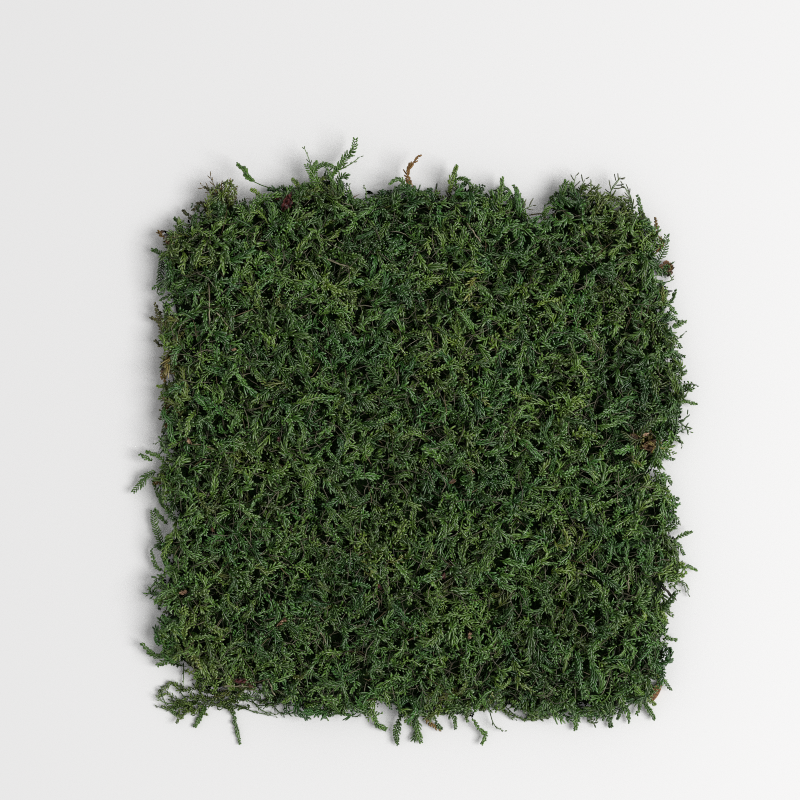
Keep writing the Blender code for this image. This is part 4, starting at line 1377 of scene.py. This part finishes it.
def dead_leaves(rng):
    """The scraps on the tufts, the leaf beside the mat, and the flakes caught in the moss."""
    finishes = {
        "red": litter_finish(
            "red_leaf", (0.012, 0.003, 0.003), (0.085, 0.018, 0.014), 0.002, 0.5),
        "tan": litter_finish(
            "tan_leaf", (0.110, 0.050, 0.022), (0.380, 0.250, 0.150), 0.0025, 0.5),
        "brown": litter_finish(
            "brown_leaf", (0.030, 0.016, 0.007), (0.160, 0.090, 0.045), 0.0022, 0.55),
    }
    for number, (pixel, length, width, turn, kind, curl) in enumerate((*SCRAPS, DEAD_LEAF)):
        node = "leaf_scrap_%d" % (number + 1) if number < len(SCRAPS) else "dead_leaf"
        bm = bmesh.new()
        place = at_pixel(*pixel, middle_height(node))
        crumpled(bm, length, width, turn, place, 3.1 * number, curl)
        finished(bm, "crumpled_leaf_%d" % (number + 1), finishes[kind], node)
    for kind, finish in finishes.items():
        bm = bmesh.new()
        for number, (pixel, length, leaf) in enumerate(FLAKES):
            if leaf == kind:
                spot = np.array([at_pixel(*pixel)[:2]])
                level = max(surface(spot)[0], 0.006) + rng.uniform(0.0005, 0.0025)
                place = (*spot[0], level)
                turn = rng.uniform(0.0, 360.0)
                crumpled(bm, length, 0.6 * length, turn, place, 7.0 + number, 0.5, (7, 5))
        finished(bm, kind + "_flakes", finish)


def bark_chip():
    """The splinter of bark at the near right corner."""
    bark = litter_finish("orange_bark", (0.090, 0.038, 0.012), (0.270, 0.125, 0.042), 0.0018, 0.7)
    bm = bmesh.new()
    bmesh.ops.create_cube(bm, size=1.0)
    bmesh.ops.subdivide_edges(bm, edges=bm.edges[:], cuts=7, use_grid_fill=True)
    for vert in bm.verts:
        grain = noise.noise(Vector((vert.co.x * 1.2, vert.co.y * 6.0, vert.co.z * 5.0)))
        torn = noise.noise(Vector((vert.co.y * 5.0, vert.co.z * 5.0, 7.0)))
        vert.co.x += 0.10 * torn * abs(vert.co.x) * 2.0
        vert.co.y *= 1.0 - 1.9 * vert.co.x ** 2 + 0.15 * grain
        vert.co.z += 0.10 * grain
    bmesh.ops.scale(bm, verts=bm.verts, vec=CHIP_SIZE)
    turn = Matrix.Rotation(math.radians(CHIP_TURN), 3, "Z")
    bmesh.ops.rotate(bm, verts=bm.verts, cent=(0.0, 0.0, 0.0), matrix=turn)
    low, high = (Vector(corner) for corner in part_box("bark_chip"))
    middle = (low + high) / 2.0 - Vector((CHIP_TUCK, 0.0, 0.0))
    bmesh.ops.translate(bm, verts=bm.verts, vec=middle)
    finished(bm, "splinter", bark, "bark_chip")


# Studio


def studio():
    """The table, the light and the camera."""
    scene = bpy.context.scene
    scene.view_settings.view_transform = "Standard"
    scene.view_settings.look = "None"
    scene.cycles.use_denoising = False
    scene.cycles.filter_width = 1.0
    world = bpy.data.worlds.new("studio")
    scene.world = world
    world.use_nodes = True
    sky = world.node_tree.nodes["Background"]
    sky.inputs["Color"].default_value = (1.0, 1.0, 1.0, 1.0)
    sky.inputs["Strength"].default_value = WORLD_LIGHT
    world.cycles.sampling_method = "NONE"

    bm = bmesh.new()
    bmesh.ops.create_grid(bm, x_segments=1, y_segments=1, size=TABLE_REACH)
    mesh = bpy.data.meshes.new("table")
    bm.to_mesh(mesh)
    bm.free()
    paper = Finish("white_table", Roughness=0.7, Specular_IOR_Level=0.3)
    paper.paint(TABLE_COLOUR)
    mesh.materials.append(paper.material)
    table = bpy.data.objects.new("table", mesh)
    scene.collection.objects.link(table)

    light = bpy.data.lights.new("window", "AREA")
    light.energy = WINDOW_POWER
    light.size = WINDOW_SIZE
    window = bpy.data.objects.new("window", light)
    window.location = WINDOW_PLACE
    window.rotation_euler = (-Vector(WINDOW_PLACE)).to_track_quat("-Z", "Y").to_euler()
    scene.collection.objects.link(window)

    camera = bpy.data.objects.new("camera", bpy.data.cameras.new("camera"))
    camera.location = at_pixel(FRAME_SIDE / 2.0, FRAME_SIDE / 2.0, CAMERA_HEIGHT)
    camera.data.sensor_width = SENSOR
    camera.data.lens = SENSOR * (CAMERA_HEIGHT - CAMERA_LEVEL) / (FRAME_SIDE * PIXEL)
    scene.collection.objects.link(camera)
    scene.camera = camera


def main():
    """The whole scene. The order of the calls is that of the random draws."""
    rng = np.random.default_rng(SEED)
    moss = moss_finish()
    thatch()
    carpet(rng, moss)
    fringe(rng, moss)
    underside(rng)
    strays(rng, moss)
    dry_stalks(rng)
    dead_leaves(rng)
    bark_chip()
    studio()


main()
